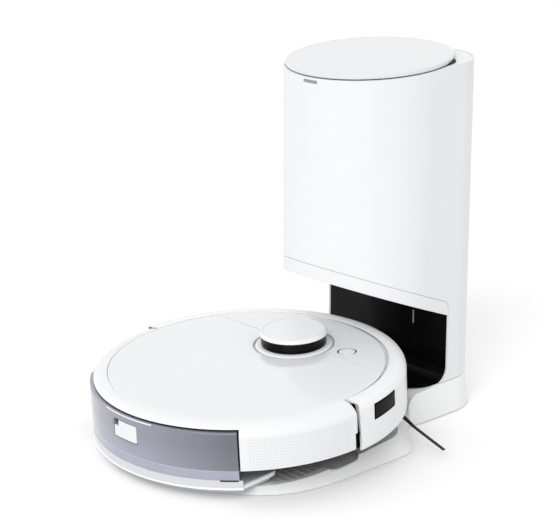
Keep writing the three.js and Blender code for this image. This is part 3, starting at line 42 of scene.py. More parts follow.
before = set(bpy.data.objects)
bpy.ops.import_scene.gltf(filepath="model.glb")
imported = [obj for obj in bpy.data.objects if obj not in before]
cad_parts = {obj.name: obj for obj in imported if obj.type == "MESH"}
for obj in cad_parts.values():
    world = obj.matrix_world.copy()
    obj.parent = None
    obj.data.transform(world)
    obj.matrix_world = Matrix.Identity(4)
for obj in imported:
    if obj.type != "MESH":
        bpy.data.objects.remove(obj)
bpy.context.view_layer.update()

# lengths are in millimetres and slopes in radians, unless a comment says otherwise
MM = 0.001

# three frames: the station stands upright, the robot leans on its ramp, the column's rim leans forward
COLUMN_Y = 184.0  # middle of the column's round front
COLUMN_REAR = 279.0
SHIFT_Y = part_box("column_shell")[1][1] / MM - COLUMN_REAR
RAMP_SLOPE = 0.057
RAMP_LIFT = 10.7
RIM_SLOPE = 0.072
RIM_Z = 403.8
STAND_Z = 4.0  # height of the rubber feet
STATION = Matrix.Translation((0, SHIFT_Y * MM, STAND_Z * MM))
ROBOT = STATION @ Matrix.Translation((0, 0, RAMP_LIFT * MM)) @ Matrix.Rotation(RAMP_SLOPE, 4, "X")
RIM = STATION @ Matrix.Translation((0, COLUMN_Y * MM, RIM_Z * MM)) @ Matrix.Rotation(RIM_SLOPE, 4, "X")


# ---------------------------------------------------------------- modelling helpers

MERGE_DISTANCE = 0.000002  # metres
SMOOTH_ANGLE = math.radians(32)


def clear_selection():
    if bpy.context.mode != "OBJECT":
        bpy.ops.object.mode_set(mode="OBJECT")
    bpy.ops.object.select_all(action="DESELECT")


def activate(obj):
    clear_selection()
    obj.select_set(True)
    bpy.context.view_layer.objects.active = obj


def edit(obj):
    activate(obj)
    bpy.ops.object.mode_set(mode="EDIT")


def leave_edit():
    bpy.ops.object.mode_set(mode="OBJECT")


def name_new(name):
    obj = bpy.context.active_object
    obj.name = name
    obj.data.name = name
    return obj


def tidy_normals():
    """In edit mode, merge doubled points and turn all faces outwards."""
    bpy.ops.mesh.select_all(action="SELECT")
    bpy.ops.mesh.remove_doubles(threshold=MERGE_DISTANCE)
    bpy.ops.mesh.normals_make_consistent(inside=False)


def turned(name, rings, steps=128, loop=False):
    """Solid of revolution about Z, pulled up ring by ring: (radius, height[, y offset])."""
    rings = [tuple(r) + (0,) * (3 - len(r)) for r in rings]
    clear_selection()
    r0, z0, y0 = rings[0]
    bpy.ops.mesh.primitive_circle_add(vertices=steps, radius=r0 * MM, fill_type="NOTHING")
    obj = name_new(name)
    edit(obj)
    bpy.ops.mesh.select_all(action="SELECT")
    bpy.ops.transform.translate(value=(0, y0 * MM, z0 * MM))
    last = (r0, z0, y0)
    for radius, z, y in rings[1:] + ([rings[0]] if loop else []):
        move = (0, (y - last[2]) * MM, (z - last[1]) * MM)
        bpy.ops.mesh.extrude_region_move(TRANSFORM_OT_translate={"value": move})
        factor = radius / last[0]
        bpy.ops.transform.resize(value=(factor, factor, 1), center_override=(0, y * MM, z * MM))
        last = (radius, z, y)
    if not loop:
        bpy.ops.mesh.select_all(action="SELECT")
        bpy.ops.mesh.fill_holes(sides=0)
    tidy_normals()
    leave_edit()
    return obj


def outline_bar(name, points, low, high, axis="Z"):
    """Closed outline of (x, y) points pulled along Z, or of (y, z) points pulled along X."""
    clear_selection()
    bpy.ops.mesh.primitive_circle_add(vertices=len(points), radius=1, fill_type="NGON")
    obj = name_new(name)
    edit(obj)
    mesh = bmesh.from_edit_mesh(obj.data)
    mesh.faces.ensure_lookup_table()
    for vert, (u, v) in zip(mesh.faces[0].verts[:], points):
        vert.co = Vector((u, v, low)) * MM if axis == "Z" else Vector((low, u, v)) * MM
    bmesh.update_edit_mesh(obj.data)
    bpy.ops.mesh.select_all(action="SELECT")
    step = (high - low) * MM
    move = (0, 0, step) if axis == "Z" else (step, 0, 0)
    bpy.ops.mesh.extrude_region_move(TRANSFORM_OT_translate={"value": move})
    tidy_normals()
    leave_edit()
    return obj


def rounded_points(corners, steps=10):
    """Outline points of a polygon whose corners (x, y, radius) are rounded with true arcs."""
    points = []
    count = len(corners)
    for i, (x, y, radius) in enumerate(corners):
        here = Vector((x, y))
        before = (Vector(corners[i - 1][:2]) - here).normalized()
        after = (Vector(corners[(i + 1) % count][:2]) - here).normalized()
        if radius <= 0:
            points.append((x, y))
            continue
        half = before.angle(after) / 2
        centre = here + (before + after).normalized() * (radius / math.sin(half))
        start = here + before * (radius / math.tan(half)) - centre
        end = here + after * (radius / math.tan(half)) - centre
        sweep = start.angle_signed(end)
        for k in range(steps + 1):
            turn = Matrix.Rotation(-sweep * k / steps, 2)
            points.append(tuple(centre + turn @ start))
    return points


def box(name, x0, x1, y0, y1, z0, z1):
    clear_selection()
    middle = Vector((x0 + x1, y0 + y1, z0 + z1)) / 2
    sides = ((x1 - x0) * MM, (y1 - y0) * MM, (z1 - z0) * MM)
    bpy.ops.mesh.primitive_cube_add(size=1, location=middle * MM, scale=sides)
    obj = name_new(name)
    bpy.ops.object.transform_apply(location=True, rotation=True, scale=True)
    return obj


def rod(name, radius, start, end, steps=48):
    """Cylinder between two points."""
    clear_selection()
    a, b = Vector(start), Vector(end)
    along = b - a
    bpy.ops.mesh.primitive_cylinder_add(vertices=steps, radius=radius * MM, depth=along.length * MM)
    obj = name_new(name)
    turn = along.to_track_quat("Z", "Y").to_matrix().to_4x4()
    obj.matrix_world = Matrix.Translation((a + b) / 2 * MM) @ turn
    bpy.ops.object.transform_apply(location=True, rotation=True, scale=True)
    return obj


def modify(obj, kind, **values):
    """Add a modifier and apply it."""
    activate(obj)
    modifier = obj.modifiers.new(kind.title(), kind)
    for key, value in values.items():
        setattr(modifier, key, value)
    bpy.ops.object.modifier_apply(modifier=modifier.name)


def combine(obj, tool, operation="DIFFERENCE"):
    """Cut with another solid, or keep what both share, and use that solid up."""
    modify(obj, "BOOLEAN", object=tool, operation=operation, solver="EXACT")
    bpy.data.objects.remove(tool, do_unlink=True)
    return obj


def keep_side(obj, point, normal):
    """Cut with a plane, keep what lies behind it and close the cut."""
    edit(obj)
    bpy.ops.mesh.select_all(action="SELECT")
    bpy.ops.mesh.bisect(plane_co=Vector(point) * MM, plane_no=normal, use_fill=True, clear_outer=True)
    leave_edit()


def soften(obj, width, segments, angle=35):
    """Round every edge sharper than the angle."""
    modify(obj, "BEVEL", width=width * MM, segments=segments, limit_method="ANGLE",
           angle_limit=math.radians(angle), use_clamp_overlap=True)
    return obj


def join(name, objs):
    clear_selection()
    for obj in objs:
        obj.select_set(True)
    bpy.context.view_layer.objects.active = objs[0]
    bpy.ops.object.join()
    return name_new(name)


def mirrored(obj, name):
    """A copy on the other side of the middle plane."""
    activate(obj)
    bpy.ops.object.duplicate()
    copy = name_new(name)
    bpy.ops.transform.resize(value=(-1, 1, 1), center_override=(0, 0, 0))
    bpy.ops.object.transform_apply(location=True, rotation=True, scale=True)
    edit(copy)
    bpy.ops.mesh.select_all(action="SELECT")
    bpy.ops.mesh.normals_make_consistent(inside=False)
    leave_edit()
    return copy


def settle(obj, place):
    """Carry a piece from its own frame into the set's, with its place in its mesh."""
    activate(obj)
    obj.matrix_world = place @ obj.matrix_world
    bpy.ops.object.transform_apply(location=True, rotation=True, scale=True)


def lay_along_y(obj, sign):
    """Turn a bar that was pulled along Z so that it runs along Y, or against Y with a sign of -1."""
    settle(obj, Matrix(((1, 0, 0, 0), (0, 0, sign, 0), (0, 1, 0, 0), (0, 0, 0, 1))))
    edit(obj)
    tidy_normals()
    leave_edit()


def finish_piece(obj, place, body, finish, replaces=()):
    """Put a piece in its frame, smooth it, and give it its finish and body."""
    settle(obj, place)
    bpy.ops.object.shade_smooth_by_angle(angle=SMOOTH_ANGLE)
    modify(obj, "WEIGHTED_NORMAL", keep_sharp=True, weight=50)
    obj.data.materials.clear()
    obj.data.materials.append(FINISH[finish])
    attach(obj, body)
    if replaces:
        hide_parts(*replaces)


def dress(worn):
    """Give their finishes to the frame's solids that stay as they are."""
    for finish, nodes in worn.items():
        for node in nodes:
            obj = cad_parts[node]
            obj.data.materials.clear()
            obj.data.materials.append(FINISH[finish])


# ---------------------------------------------------------------- finishes

FINISH = {}
WALL_RADIUS = 174.5
HOLE_PITCH = 3.1
WHITE = (1, 1, 1, 1)


def shaded(colour, factor=1.0):
    """The colour made darker or lighter, with full alpha."""
    return [min(1, c * factor) for c in colour] + [1]


class Nodes:
    """Short way to wire a material; a socket's name has _ for each space."""

    def __init__(self, name, colour, roughness, **sockets):
        self.roughness = roughness
        self.material = bpy.data.materials.new(name)
        self.material.use_nodes = True
        self.tree = self.material.node_tree
        self.shader = self.tree.nodes["Principled BSDF"]
        self.shader.inputs["Base Color"].default_value = shaded(colour)
        self.shader.inputs["Roughness"].default_value = roughness
        for key, value in sockets.items():
            self.shader.inputs[key.replace("_", " ")].default_value = value
        self.coords = self.tree.nodes.new("ShaderNodeTexCoord").outputs["Object"]

    def add(self, kind, inputs=None, **settings):
        node = self.tree.nodes.new(kind)
        for key, value in settings.items():
            setattr(node, key, value)
        for key, value in (inputs or {}).items():
            if isinstance(value, bpy.types.NodeSocket):
                self.tree.links.new(value, node.inputs[key])
            else:
                node.inputs[key].default_value = value
        return node

    def noise(self, scale, detail=2.0, vector=None):
        inputs = {"Scale": scale, "Detail": detail, "Vector": vector or self.coords}
        return self.add("ShaderNodeTexNoise", inputs).outputs["Fac"]

    def span(self, value, low, high, start=0.0, end=1.0):
        inputs = {"Value": value, "From Min": start, "From Max": end, "To Min": low, "To Max": high}
        return self.add("ShaderNodeMapRange", inputs).outputs["Result"]

    def math(self, operation, a, b=0.0):
        return self.add("ShaderNodeMath", {0: a, 1: b}, operation=operation).outputs[0]

    def mix(self, factor, a, b):
        # the colour sockets of this node stand at 6 and 7, its colour result at 2
        return self.add("ShaderNodeMix", {0: factor, 6: a, 7: b}, data_type="RGBA").outputs[2]

    def set(self, socket, value):
        self.tree.links.new(value, self.shader.inputs[socket])

    def uneven_gloss(self, pattern, low=0.85, high=1.2):
        """Spread the roughness from low to high times its plain value."""
        self.set("Roughness", self.span(
            pattern, self.roughness * low, min(1, self.roughness * high), 0.3, 0.7))

    def bump(self, height, strength, distance=0.0001):
        node = self.add("ShaderNodeBump", {"Height": height, "Strength": strength, "Distance": distance})
        self.set("Normal", node.outputs["Normal"])


def moulded(name, colour, roughness, grain=0.04, grain_scale=2600, variation=0.04, **sockets):
    """Moulded plastic: a trace of flow variation, a fine grain and uneven gloss."""
    n = Nodes(name, colour, roughness, **sockets)
    n.set("Base Color", n.mix(n.noise(9, 3), shaded(colour), shaded(colour, 1 - variation)))
    n.uneven_gloss(n.noise(60, 4))
    n.bump(n.noise(grain_scale, 2), grain)
    return n.material


def robot_coords(n):
    """Object coordinates turned back into the robot's own frame, as outputs x, y and z."""
    back = ROBOT.inverted()
    node = n.add("ShaderNodeMapping", {"Vector": n.coords}, vector_type="POINT")
    node.inputs["Location"].default_value = back.to_translation()
    node.inputs["Rotation"].default_value = back.to_euler()
    return n.add("ShaderNodeSeparateXYZ", {0: node.outputs[0]}).outputs


def perforated_wall(name, colour, roughness):
    """White wall with a field of fine round holes on each rear flank."""
    n = Nodes(name, colour, roughness, Specular_IOR_Level=0.3)
    x, y, z = robot_coords(n)
    angle = n.math("ARCTAN2", n.math("MULTIPLY", y, -1.0), n.math("ABSOLUTE", x))
    along = n.math("MULTIPLY", angle, WALL_RADIUS / HOLE_PITCH)
    up = n.math("DIVIDE", z, HOLE_PITCH * MM)
    du = n.math("SUBTRACT", n.math("FRACT", along), 0.5)
    dv = n.math("SUBTRACT", n.math("FRACT", up), 0.5)
    far = n.math("SQRT", n.math("ADD", n.math("MULTIPLY", du, du), n.math("MULTIPLY", dv, dv)))
    dot = n.span(far, 1.0, 0.0, 0.17, 0.25)
    for value, low, high in ((angle, 0.075, 0.735), (z, 32 * MM, 65 * MM)):
        inside = n.math("MULTIPLY", n.math("GREATER_THAN", value, low), n.math("LESS_THAN", value, high))
        dot = n.math("MULTIPLY", dot, inside)
    n.set("Base Color", n.mix(dot, shaded(colour), shaded(colour, 0.80)))
    n.uneven_gloss(n.noise(60, 4))
    n.bump(n.math("SUBTRACT", n.math("MULTIPLY", n.noise(2600), 0.05), dot), 0.3, 0.0003)
    return n.material


def ribbed_grey(name, colour, roughness):
    """Matt grey track plastic, a little dusty between its ribs."""
    n = Nodes(name, colour, roughness)
    dust = n.span(n.noise(45, 4), 0, 1, 0.35, 0.7)
    n.set("Base Color", n.mix(dust, shaded(colour), shaded(colour, 1.25)))
    n.uneven_gloss(n.noise(200, 3), high=1.15)
    n.bump(n.noise(3200, 2), 0.15)
    return n.material


def cloth(name, colour, scale=900):
    """Short pile in uneven tufts, with a soft sheen."""
    n = Nodes(name, colour, 0.95, Sheen_Weight=0.4, Sheen_Roughness=0.5)
    tufts = n.add("ShaderNodeTexVoronoi", {"Scale": scale, "Vector": n.coords}).outputs["Distance"]
    n.set("Base Color", n.mix(n.span(tufts, 0, 1, 0.1, 0.7), shaded(colour), shaded(colour, 0.72)))
    n.bump(n.math("ADD", tufts, n.noise(180, 4)), 0.6, 0.0006)
    return n.material


def brushed_metal(name, colour, roughness):
    """Bare metal with fine streaks along X."""
    n = Nodes(name, colour, roughness, Metallic=1.0)
    stretch = n.add("ShaderNodeMapping", {"Vector": n.coords})
    stretch.inputs["Scale"].default_value = (1, 14, 14)
    streaks = n.noise(260, 3, stretch.outputs[0])
    n.uneven_gloss(streaks, 0.7, 1.4)
    n.bump(streaks, 0.05)
    return n.material


def rubber(name, colour, roughness=0.75):
    """Dark rubber or fibre with a pale bloom in patches."""
    n = Nodes(name, colour, roughness)
    pale = shaded([c * 1.6 + 0.004 for c in colour])
    n.set("Base Color", n.mix(n.span(n.noise(70, 5), 0, 1, 0.45, 0.75), shaded(colour), pale))
    n.uneven_gloss(n.noise(300, 3))
    n.bump(n.noise(1800, 3), 0.12)
    return n.material


def smoky_tank(name, colour, roughness):
    """Tinted tank plastic with painted shade that deepens towards its right end, painted light towards its
    lower edge, and a pale foot under a painted highlight line.
    """
    n = Nodes(name, colour, roughness, Coat_Weight=0.5, Coat_Roughness=0.06, IOR=1.5)
    x, y, z = robot_coords(n)
    # painted shade: the tank darkens from its left end to its right end, as the key light falls across it
    around = n.span(n.math("ARCTAN2", y, x), 0, 1, math.radians(-135), math.radians(-45))
    ramp = n.add("ShaderNodeValToRGB", {"Fac": around})
    stops = ramp.color_ramp.elements
    for k, (place, shade) in enumerate(((0.38, 0.74), (0.64, 0.68), (0.84, 0.5), (0.97, 0.36))):
        stop = stops[k] if k < 2 else stops.new(place)  # a new ramp has two stops
        stop.position = place
        stop.color = shaded(colour, shade)
    # painted light: the tank grows paler towards its lower edge
    painted_light_low = n.span(z, 1.2, 0.95, 30 * MM, 56 * MM)
    scale = n.math("ADD", painted_light_low, n.math("MULTIPLY", n.noise(22, 3), 0.12))
    inputs = {0: ramp.outputs["Color"], "Scale": scale}
    body = n.add("ShaderNodeVectorMath", inputs, operation="SCALE").outputs[0]
    foot = n.mix(n.noise(60, 3), shaded(colour, 0.88), shaded(colour, 1.1))
    # painted highlight: a pale line along the ledge above the foot
    line = n.math("LESS_THAN", n.math("ABSOLUTE", n.math("SUBTRACT", z, 28.7 * MM)), 0.6 * MM)
    plain = n.mix(n.math("LESS_THAN", z, 28.5 * MM), body, foot)
    n.set("Base Color", n.mix(line, plain, shaded(colour, 1.5)))
    n.uneven_gloss(n.noise(40, 3), 0.8, 1.3)
    n.bump(n.noise(500, 2), 0.02)
    return n.material


def frosted_plate(name, colour, roughness):
    """Milky clear plate with a painted highlight along its lower edge."""
    n = Nodes(name, colour, roughness, Coat_Weight=0.4, Coat_Roughness=0.08)
    # painted highlight: the lowest 9.6 mm of the plate turns near white
    edge = n.math("LESS_THAN", robot_coords(n)[2], 9.6 * MM)
    body = n.mix(n.noise(30, 3), shaded(colour), shaded(colour, 0.93))
    n.set("Base Color", n.mix(edge, body, (0.97, 0.97, 0.97, 1)))
    n.uneven_gloss(n.noise(60, 4))
    n.bump(n.noise(2600, 2), 0.03)
    return n.material


def make_finishes(look):
    satin, robot_satin = look.shell_gloss, 0.32
    gloss = {"roughness": 0.16, "grain": 0.01, "Coat_Weight": 0.6, "Coat_Roughness": 0.05}
    return {
        "shell": moulded("shell_white", look.white, satin, Coat_Weight=0.15, Coat_Roughness=0.2),
        "deck": moulded("deck_white", look.deck_white, **gloss),
        "wall": perforated_wall("wall_white", look.wall_white, robot_satin),
        "robot": moulded(
            "robot_white", look.robot_white, robot_satin, grain=0.015, Coat_Weight=0.1, Coat_Roughness=0.2),
        "plate": moulded("base_white", look.base_white, satin),
        "lid": moulded("lid_white", look.lid_white, **gloss),
        "black": moulded("piano_black", (0.003, 0.003, 0.0035), 0.12, grain=0.005, Specular_IOR_Level=0.12),
        "matt": moulded("matt_black", (0.0015, 0.0015, 0.0015), 0.7, grain=0.05, Specular_IOR_Level=0.02),
        "dark_glass": moulded(
            "sensor_glass", (0.008, 0.008, 0.0085), 0.3, grain=0.01, Specular_IOR_Level=0.04),
        "dark": moulded("charcoal_plastic", (0.025, 0.026, 0.029), 0.5, grain=0.2, variation=0.2),
        "grey": ribbed_grey("track_grey", look.track_grey, 0.62),
        "trim": moulded("trim_grey", (0.30, 0.31, 0.33), 0.45, grain=0.08),
        "tank": smoky_tank("tank_blue_grey", look.tank_tint, 0.2),
        "clear": frosted_plate("frosted_clear", (0.66, 0.67, 0.70), 0.24),
        "rubber": rubber("soft_rubber", (0.012, 0.012, 0.013)),
        "tyre": rubber("tyre_rubber", (0.016, 0.016, 0.017), 0.85),
        "bristle": rubber("black_bristle", (0.006, 0.006, 0.006), 0.5),
        "blue": rubber("brush_blue", (0.03, 0.085, 0.24), 0.6),
        "pad": cloth("mop_pile", (0.62, 0.63, 0.66)),
        "fleece": cloth("filter_fleece", (0.74, 0.72, 0.67), 1600),
        "card": moulded("pressed_card", (0.52, 0.38, 0.22), 0.85, grain=0.35, grain_scale=900, variation=0.15),
        "metal": brushed_metal("plain_steel", (0.60, 0.60, 0.61), 0.28),
        "contact": brushed_metal("plated_contact", (0.83, 0.68, 0.40), 0.22),
    }


# ---------------------------------------------------------------- settings


def length(name, description, default, low, high):
    return bpy.props.FloatProperty(
        name=name, description=description, default=default * MM, min=low * MM, max=high * MM,
        subtype="DISTANCE", unit="LENGTH")


def tone(name, description, default):
    return bpy.props.FloatVectorProperty(
        name=name, description=description, default=default, size=3, min=0, max=1, subtype="COLOR")


class StationSettings(bpy.types.PropertyGroup):
    """Sizes of the emptying station."""

    width: length("Column width", "Width of the column, which is also its front diameter", 195, 190, 200)
    corner: length("Rear corner radius", "Radius of the column's two rear corners", 46, 20, 60)
    wall: length("Wall", "Wall thickness of the column and its trim", 2.5, 1, 4)
    lid_radius: length("Lid radius", "Radius of the round lid", 95, 80, 96)


class RobotSettings(bpy.types.PropertyGroup):
    """Sizes of the robot."""

    deck_radius: length("Deck radius", "Radius of the glossy disc on top", 154, 150, 155)
    wall_radius: length("Wall radius", "Outer radius of the rear side wall", WALL_RADIUS, 170, 175)
    turret_radius: length("Turret radius", "Radius of the turret's cap", 38.7, 35, 40)


class LookSettings(bpy.types.PropertyGroup):
    """Colours and gloss of the finishes."""

    white: tone("Shell white", "Colour of the station's and robot's shells", (0.82, 0.825, 0.84))
    wall_white: tone("Wall white", "Colour of the robot's rear wall", (0.815, 0.82, 0.83))
    robot_white: tone("Bumper white", "Colour of the robot's bumper", (0.88, 0.885, 0.895))
    base_white: tone("Base white", "Colour of the station's base", (0.92, 0.925, 0.93))
    lid_white: tone("Lid white", "Colour of the station's glossy lid", (0.74, 0.745, 0.76))
    deck_white: tone("Deck white", "Colour of the robot's glossy deck", (0.81, 0.815, 0.83))
    track_grey: tone("Track grey", "Colour of the ribbed wheel tracks", (0.52, 0.52, 0.53))
    tank_tint: tone("Tank tint", "Colour of the tinted water tank", (0.36, 0.375, 0.455))
    shell_gloss: bpy.props.FloatProperty(
        name="Shell roughness", description="Roughness of the shells' satin finish",
        default=0.34, min=0.05, max=1, subtype="FACTOR")


# ---------------------------------------------------------------- station pieces

SEAM_Z = 36.0  # top of the base block
LEG_Y = 219.0  # front of the column's upright leg
CUT_Z = 132.5  # where the slanting cut meets the leg
CUT_SLOPE = 0.396  # rise over run
TRIM_H = 16.0
GAP = 0.3
FAR_Y = -100.0  # ahead of everything that the bay is cut through
HALF_CUT = 150.0  # half length of the bars that cut across the column
BAY_ROUND = 17.0  # fillet between the bay's wall and floor


def column_sizes(context):
    """Half width, rear corner radius and wall thickness."""
    s = context.scene.vacuum_station
    return s.width / MM / 2, s.corner / MM, s.wall / MM


def column_outline(inset, half, corner, steps=64, rear=COLUMN_REAR):
    """Round front, flat back with rounded corners."""
    reach = half - inset
    radius = max(corner - inset, 1)
    back = rear - inset
    points = []
    for k in range(steps * 2 + 1):
        a = math.pi + math.pi * k / (steps * 2)
        points.append((reach * math.cos(a), COLUMN_Y + reach * math.sin(a)))
    for cx, start in ((reach - radius, 0.0), (-reach + radius, math.pi / 2)):
        for k in range(steps // 2 + 1):
            a = start + (math.pi / 2) * k / (steps // 2)
            points.append((cx + radius * math.cos(a), back - radius + radius * math.sin(a)))
    return points


class VAC_OT_column(bpy.types.Operator):
    """Build the column's wall, cut for the docking bay, lid, light and service panel"""

    bl_idname = "vacuum.column"
    bl_label = "Column"

    def execute(self, context):
        half, corner, wall = column_sizes(context)
        low = SEAM_Z + 0.8
        column = outline_bar("column", column_outline(0, half, corner), low, 430)
        combine(column, outline_bar("column_inside", column_outline(wall, half, corner), low - 5, 440))
        bay = rounded_points([
            (FAR_Y, SEAM_Z, 0), (LEG_Y, SEAM_Z, BAY_ROUND), (LEG_Y, CUT_Z, 14),
            (FAR_Y, CUT_Z + CUT_SLOPE * (LEG_Y - FAR_Y), 0)], 14)
        combine(column, outline_bar("bay_cut", bay, -HALF_CUT, HALF_CUT, "X"))
        combine(column, box("panel_cut", -42, 42, 265, 290, 70, 350))
        combine(column, box("light_cut", -6, 14, 60, 110, 391, 394.5))
        settle(column, Matrix.Translation((0, -COLUMN_Y * MM, -RIM_Z * MM)))
        settle(column, Matrix.Rotation(-RIM_SLOPE, 4, "X"))
        keep_side(column, (0, 0, 0), (0, 0, 1))
        combine(column, box("hinge_cut", -44, 44, 80, 140, -11, 60))
        soften(column, 0.7, 3, 40)
        finish_piece(column, RIM, "station", "shell", ["column_shell"])
        return {"FINISHED"}


class VAC_OT_trim(bpy.types.Operator):
    """Build the slanting trim under the column"""

    bl_idname = "vacuum.trim"
    bl_label = "Underside trim"

    def execute(self, context):
        half, corner, wall = column_sizes(context)
        rear, top = LEG_Y - GAP, CUT_Z + CUT_SLOPE * GAP - GAP * math.hypot(1, CUT_SLOPE)
        rise = CUT_SLOPE * (rear - FAR_Y)
        band = rounded_points([
            (FAR_Y, top + rise, 0), (FAR_Y, top + rise - TRIM_H, 0), (rear, top - TRIM_H, 0),
            (rear, top, 13.7)], 14)
        trim = outline_bar("underside_trim", column_outline(0, half, corner), 60, 300)
        combine(trim, outline_bar("trim_band", band, -HALF_CUT, HALF_CUT, "X"), "INTERSECT")
        floor = top - TRIM_H + wall
        hollow = [
            (FAR_Y, floor + rise), (rear - wall, floor + CUT_SLOPE * wall), (rear - wall, 300), (FAR_Y, 300)]
        inner = outline_bar("trim_inner", column_outline(wall, half, corner), 50, 290)
        combine(inner, outline_bar("trim_hollow", hollow, -HALF_CUT, HALF_CUT, "X"), "INTERSECT")
        combine(trim, inner)
        soften(trim, 0.6, 3, 40)
        finish_piece(trim, STATION, "station", "shell", ["underside_cover"])
        return {"FINISHED"}


class VAC_OT_bay_panel(bpy.types.Operator):
    """Build the glossy panel behind the docked robot, its floor sheet and signal window"""

    bl_idname = "vacuum.bay_panel"
    bl_label = "Bay panel"

    def execute(self, context):
        half, corner, wall = column_sizes(context)
        side = half - wall - GAP
        top = CUT_Z - TRIM_H - GAP * math.hypot(1, CUT_SLOPE) - GAP
        thick, front = 2.5, 200
        profile = rounded_points([
            (front, SEAM_Z, 0), (LEG_Y, SEAM_Z, BAY_ROUND), (LEG_Y, top, 0), (LEG_Y + thick, top, 0),
            (LEG_Y + thick, SEAM_Z - thick, BAY_ROUND + thick), (front, SEAM_Z - thick, 0)], 16)
        panel = outline_bar("bay_panel", profile, -side, side, "X")
        combine(panel, outline_bar("panel_edge", column_outline(wall + GAP, half, corner), 0, 400), "INTERSECT")
        soften(panel, 0.4, 2, 50)
        sheet = rounded_points([
            (-side, front + 4, 0), (side, front + 4, 0), (side, 167.5, 32), (-side, 167.5, 32)], 16)
        apron = outline_bar("panel_apron", sheet, SEAM_Z - 0.6, SEAM_Z + 0.25)
        panel = join("bay_panel_body", [panel, apron])
        finish_piece(panel, STATION, "station", "black", ["dock_panel"])
        window = box("signal_window", 41.8, 44, LEG_Y - 0.25, LEG_Y + 0.6, 94, 110)
        soften(window, 0.2, 2)
        finish_piece(window, STATION, "station", "trim")
        return {"FINISHED"}


class VAC_OT_lid(bpy.types.Operator):
    """Build the round lid with its inner skirt and hinge barrel"""

    bl_idname = "vacuum.lid"
    bl_label = "Lid"

    def execute(self, context):
        radius = context.scene.vacuum_station.lid_radius / MM
        half = column_sizes(context)[0]
        low, high = 0.9, 5.4  # above the rim
        plate = turned("station_lid_plate", [
            (radius - 0.8, low), (radius - 0.2, low + 0.25), (radius, low + 0.9), (radius, high - 1.5),
            (radius - 0.35, high - 0.6), (radius - 1.2, high - 0.15), (radius - 2.4, high),
            (radius - 3.2, high - 0.22), (radius - 12, high - 0.22)], 160)
        outer, inner = (
            column_outline(inset, half, corner=39.5, steps=32, rear=249.5) for inset in (13.5, 16))
        skirt = outline_bar("skirt", outer, -5, low + 0.4)
        combine(skirt, outline_bar("skirt_inside", inner, -9, low - 1.2))
        settle(skirt, Matrix.Translation((0, -COLUMN_Y * MM, 0)))
        pin_y, pin_z = 87, -3
        barrel = rod("barrel", 3.7, (-43.5, pin_y, pin_z), (43.5, pin_y, pin_z))
        combine(barrel, rod("barrel_bore", 1.8, (-60, pin_y, pin_z), (60, pin_y, pin_z), 32))
        web = box("web", -38, 38, 84, 86.5, -1.5, low + 0.4)
        lid = join("lid", [plate, skirt, barrel, web])
        finish_piece(lid, RIM, "lid", "lid", ["station_lid"])
        return {"FINISHED"}


class VAC_OT_station_fittings(bpy.types.Operator):
    """Finish the station's base, tracks, feet, bag bay and other fittings"""

    bl_idname = "vacuum.station_fittings"
    bl_label = "Station fittings"

    def execute(self, context):
        slit = rounded_points([
            (-5.7, 391.3, 1.4), (13.7, 391.3, 1.4), (13.7, 394.2, 1.4), (-5.7, 394.2, 1.4)], 6)
        light = outline_bar("status_slit", slit, 87.2, 88.6)
        lay_along_y(light, 1)
        finish_piece(light, STATION, "station", "trim", ["status_light"])
        dress({
            "plate": ["dock_base"],
            "shell": ["rear_cover", "bag_chamber"],
            "grey": ["track_right", "track_left"],
            "dark": ["base_cover", "power_inlet", "suction_motor"],
            "trim": ["dust_duct"],
            "rubber": ["inlet_seal", "lid_seal", *(f"rubber_foot_{k}" for k in (1, 2, 3, 4))],
            "contact": ["dock_contact_right", "dock_contact_left"],
            "metal": ["hinge_pin"],
            "card": ["bag_card"],
            "fleece": ["dust_bag"],
        })
        return {"FINISHED"}


# ---------------------------------------------------------------- robot pieces

# angles are in degrees from +X about the robot's middle, where the tank lies about -90
DECK_Z = 79.0
DECK_HOLE = 46.5  # around the turret
FLAP_Y = 76.0  # the flap's hinge
SPINNER_Y = 66.0  # the axis of the turning head
TURRET_Y = 72.0
SWEEPER = 105.9  # x and y of a side brush
TANK_HALF = 45.0  # degrees to each side of the tail
TANK_TOP = 71.9
STRANDS = 12  # bristles in a bundle
STRAND_RADIUS = 0.6


def sector(name, from_deg, to_deg, low, high):
    """Wedge about the robot's middle, for cutting arcs out of rings."""
    steps, radius = 12, 400.0
    points = [(0, 0)]
    for k in range(steps + 1):
        a = math.radians(from_deg + (to_deg - from_deg) * k / steps)
        points.append((radius * math.cos(a), radius * math.sin(a)))
    return outline_bar(name, points, low, high)


def quarter(outer, inner, top, drop, steps=10):
    """Elliptic quarter round from a wall up to a top edge."""
    rings = []
    for k in range(steps + 1):
        t = math.pi / 2 * k / steps
        rings.append((inner + (outer - inner) * math.cos(t), top - drop + drop * math.sin(t)))
    return rings


def arc_band(name, profile, from_deg, to_deg):
    """Closed profile of (radius, height) swept over an arc about the robot's middle."""
    band = turned(name, profile, 256, loop=True)
    return combine(band, sector(name + "_arc", from_deg, to_deg, -20, 120), "INTERSECT")


def rounded_niche(name, half, low, high, back, radius):
    """Rounded block across the tail, from far behind the robot up to its back."""
    points = rounded_points([
        (-half, low, radius), (half, low, radius), (half, high, radius), (-half, high, radius)], 8)
    block = outline_bar(name, points, -back, 200)
    lay_along_y(block, -1)
    return block


def mop_slab(name, inset, low, high):
    """D-shaped slab under the tail, with a step at each front corner."""
    half, front = 121.0 - inset, -62.0 - inset
    points = rounded_points([
        (-half, -300, 0), (half, -300, 0), (half, front - 10, 10), (half - 14, front, 10),
        (-half + 14, front, 10), (-half, front - 10, 10)], 8)
    slab = outline_bar(name, points, low, high)
    return combine(slab, rod("mop_arc", 170 - inset, (0, 0, low - 5), (0, 0, high + 5), 256), "INTERSECT")


def disc_part(name, radius, low, high):
    """Disc with a rolled edge."""
    edge = 1.2
    rings = [(radius - 0.3, low), (radius, low + 0.3)] + quarter(radius, radius - edge, high, edge, 6)
    return turned(name, rings + [(radius - 8, high)], 256)


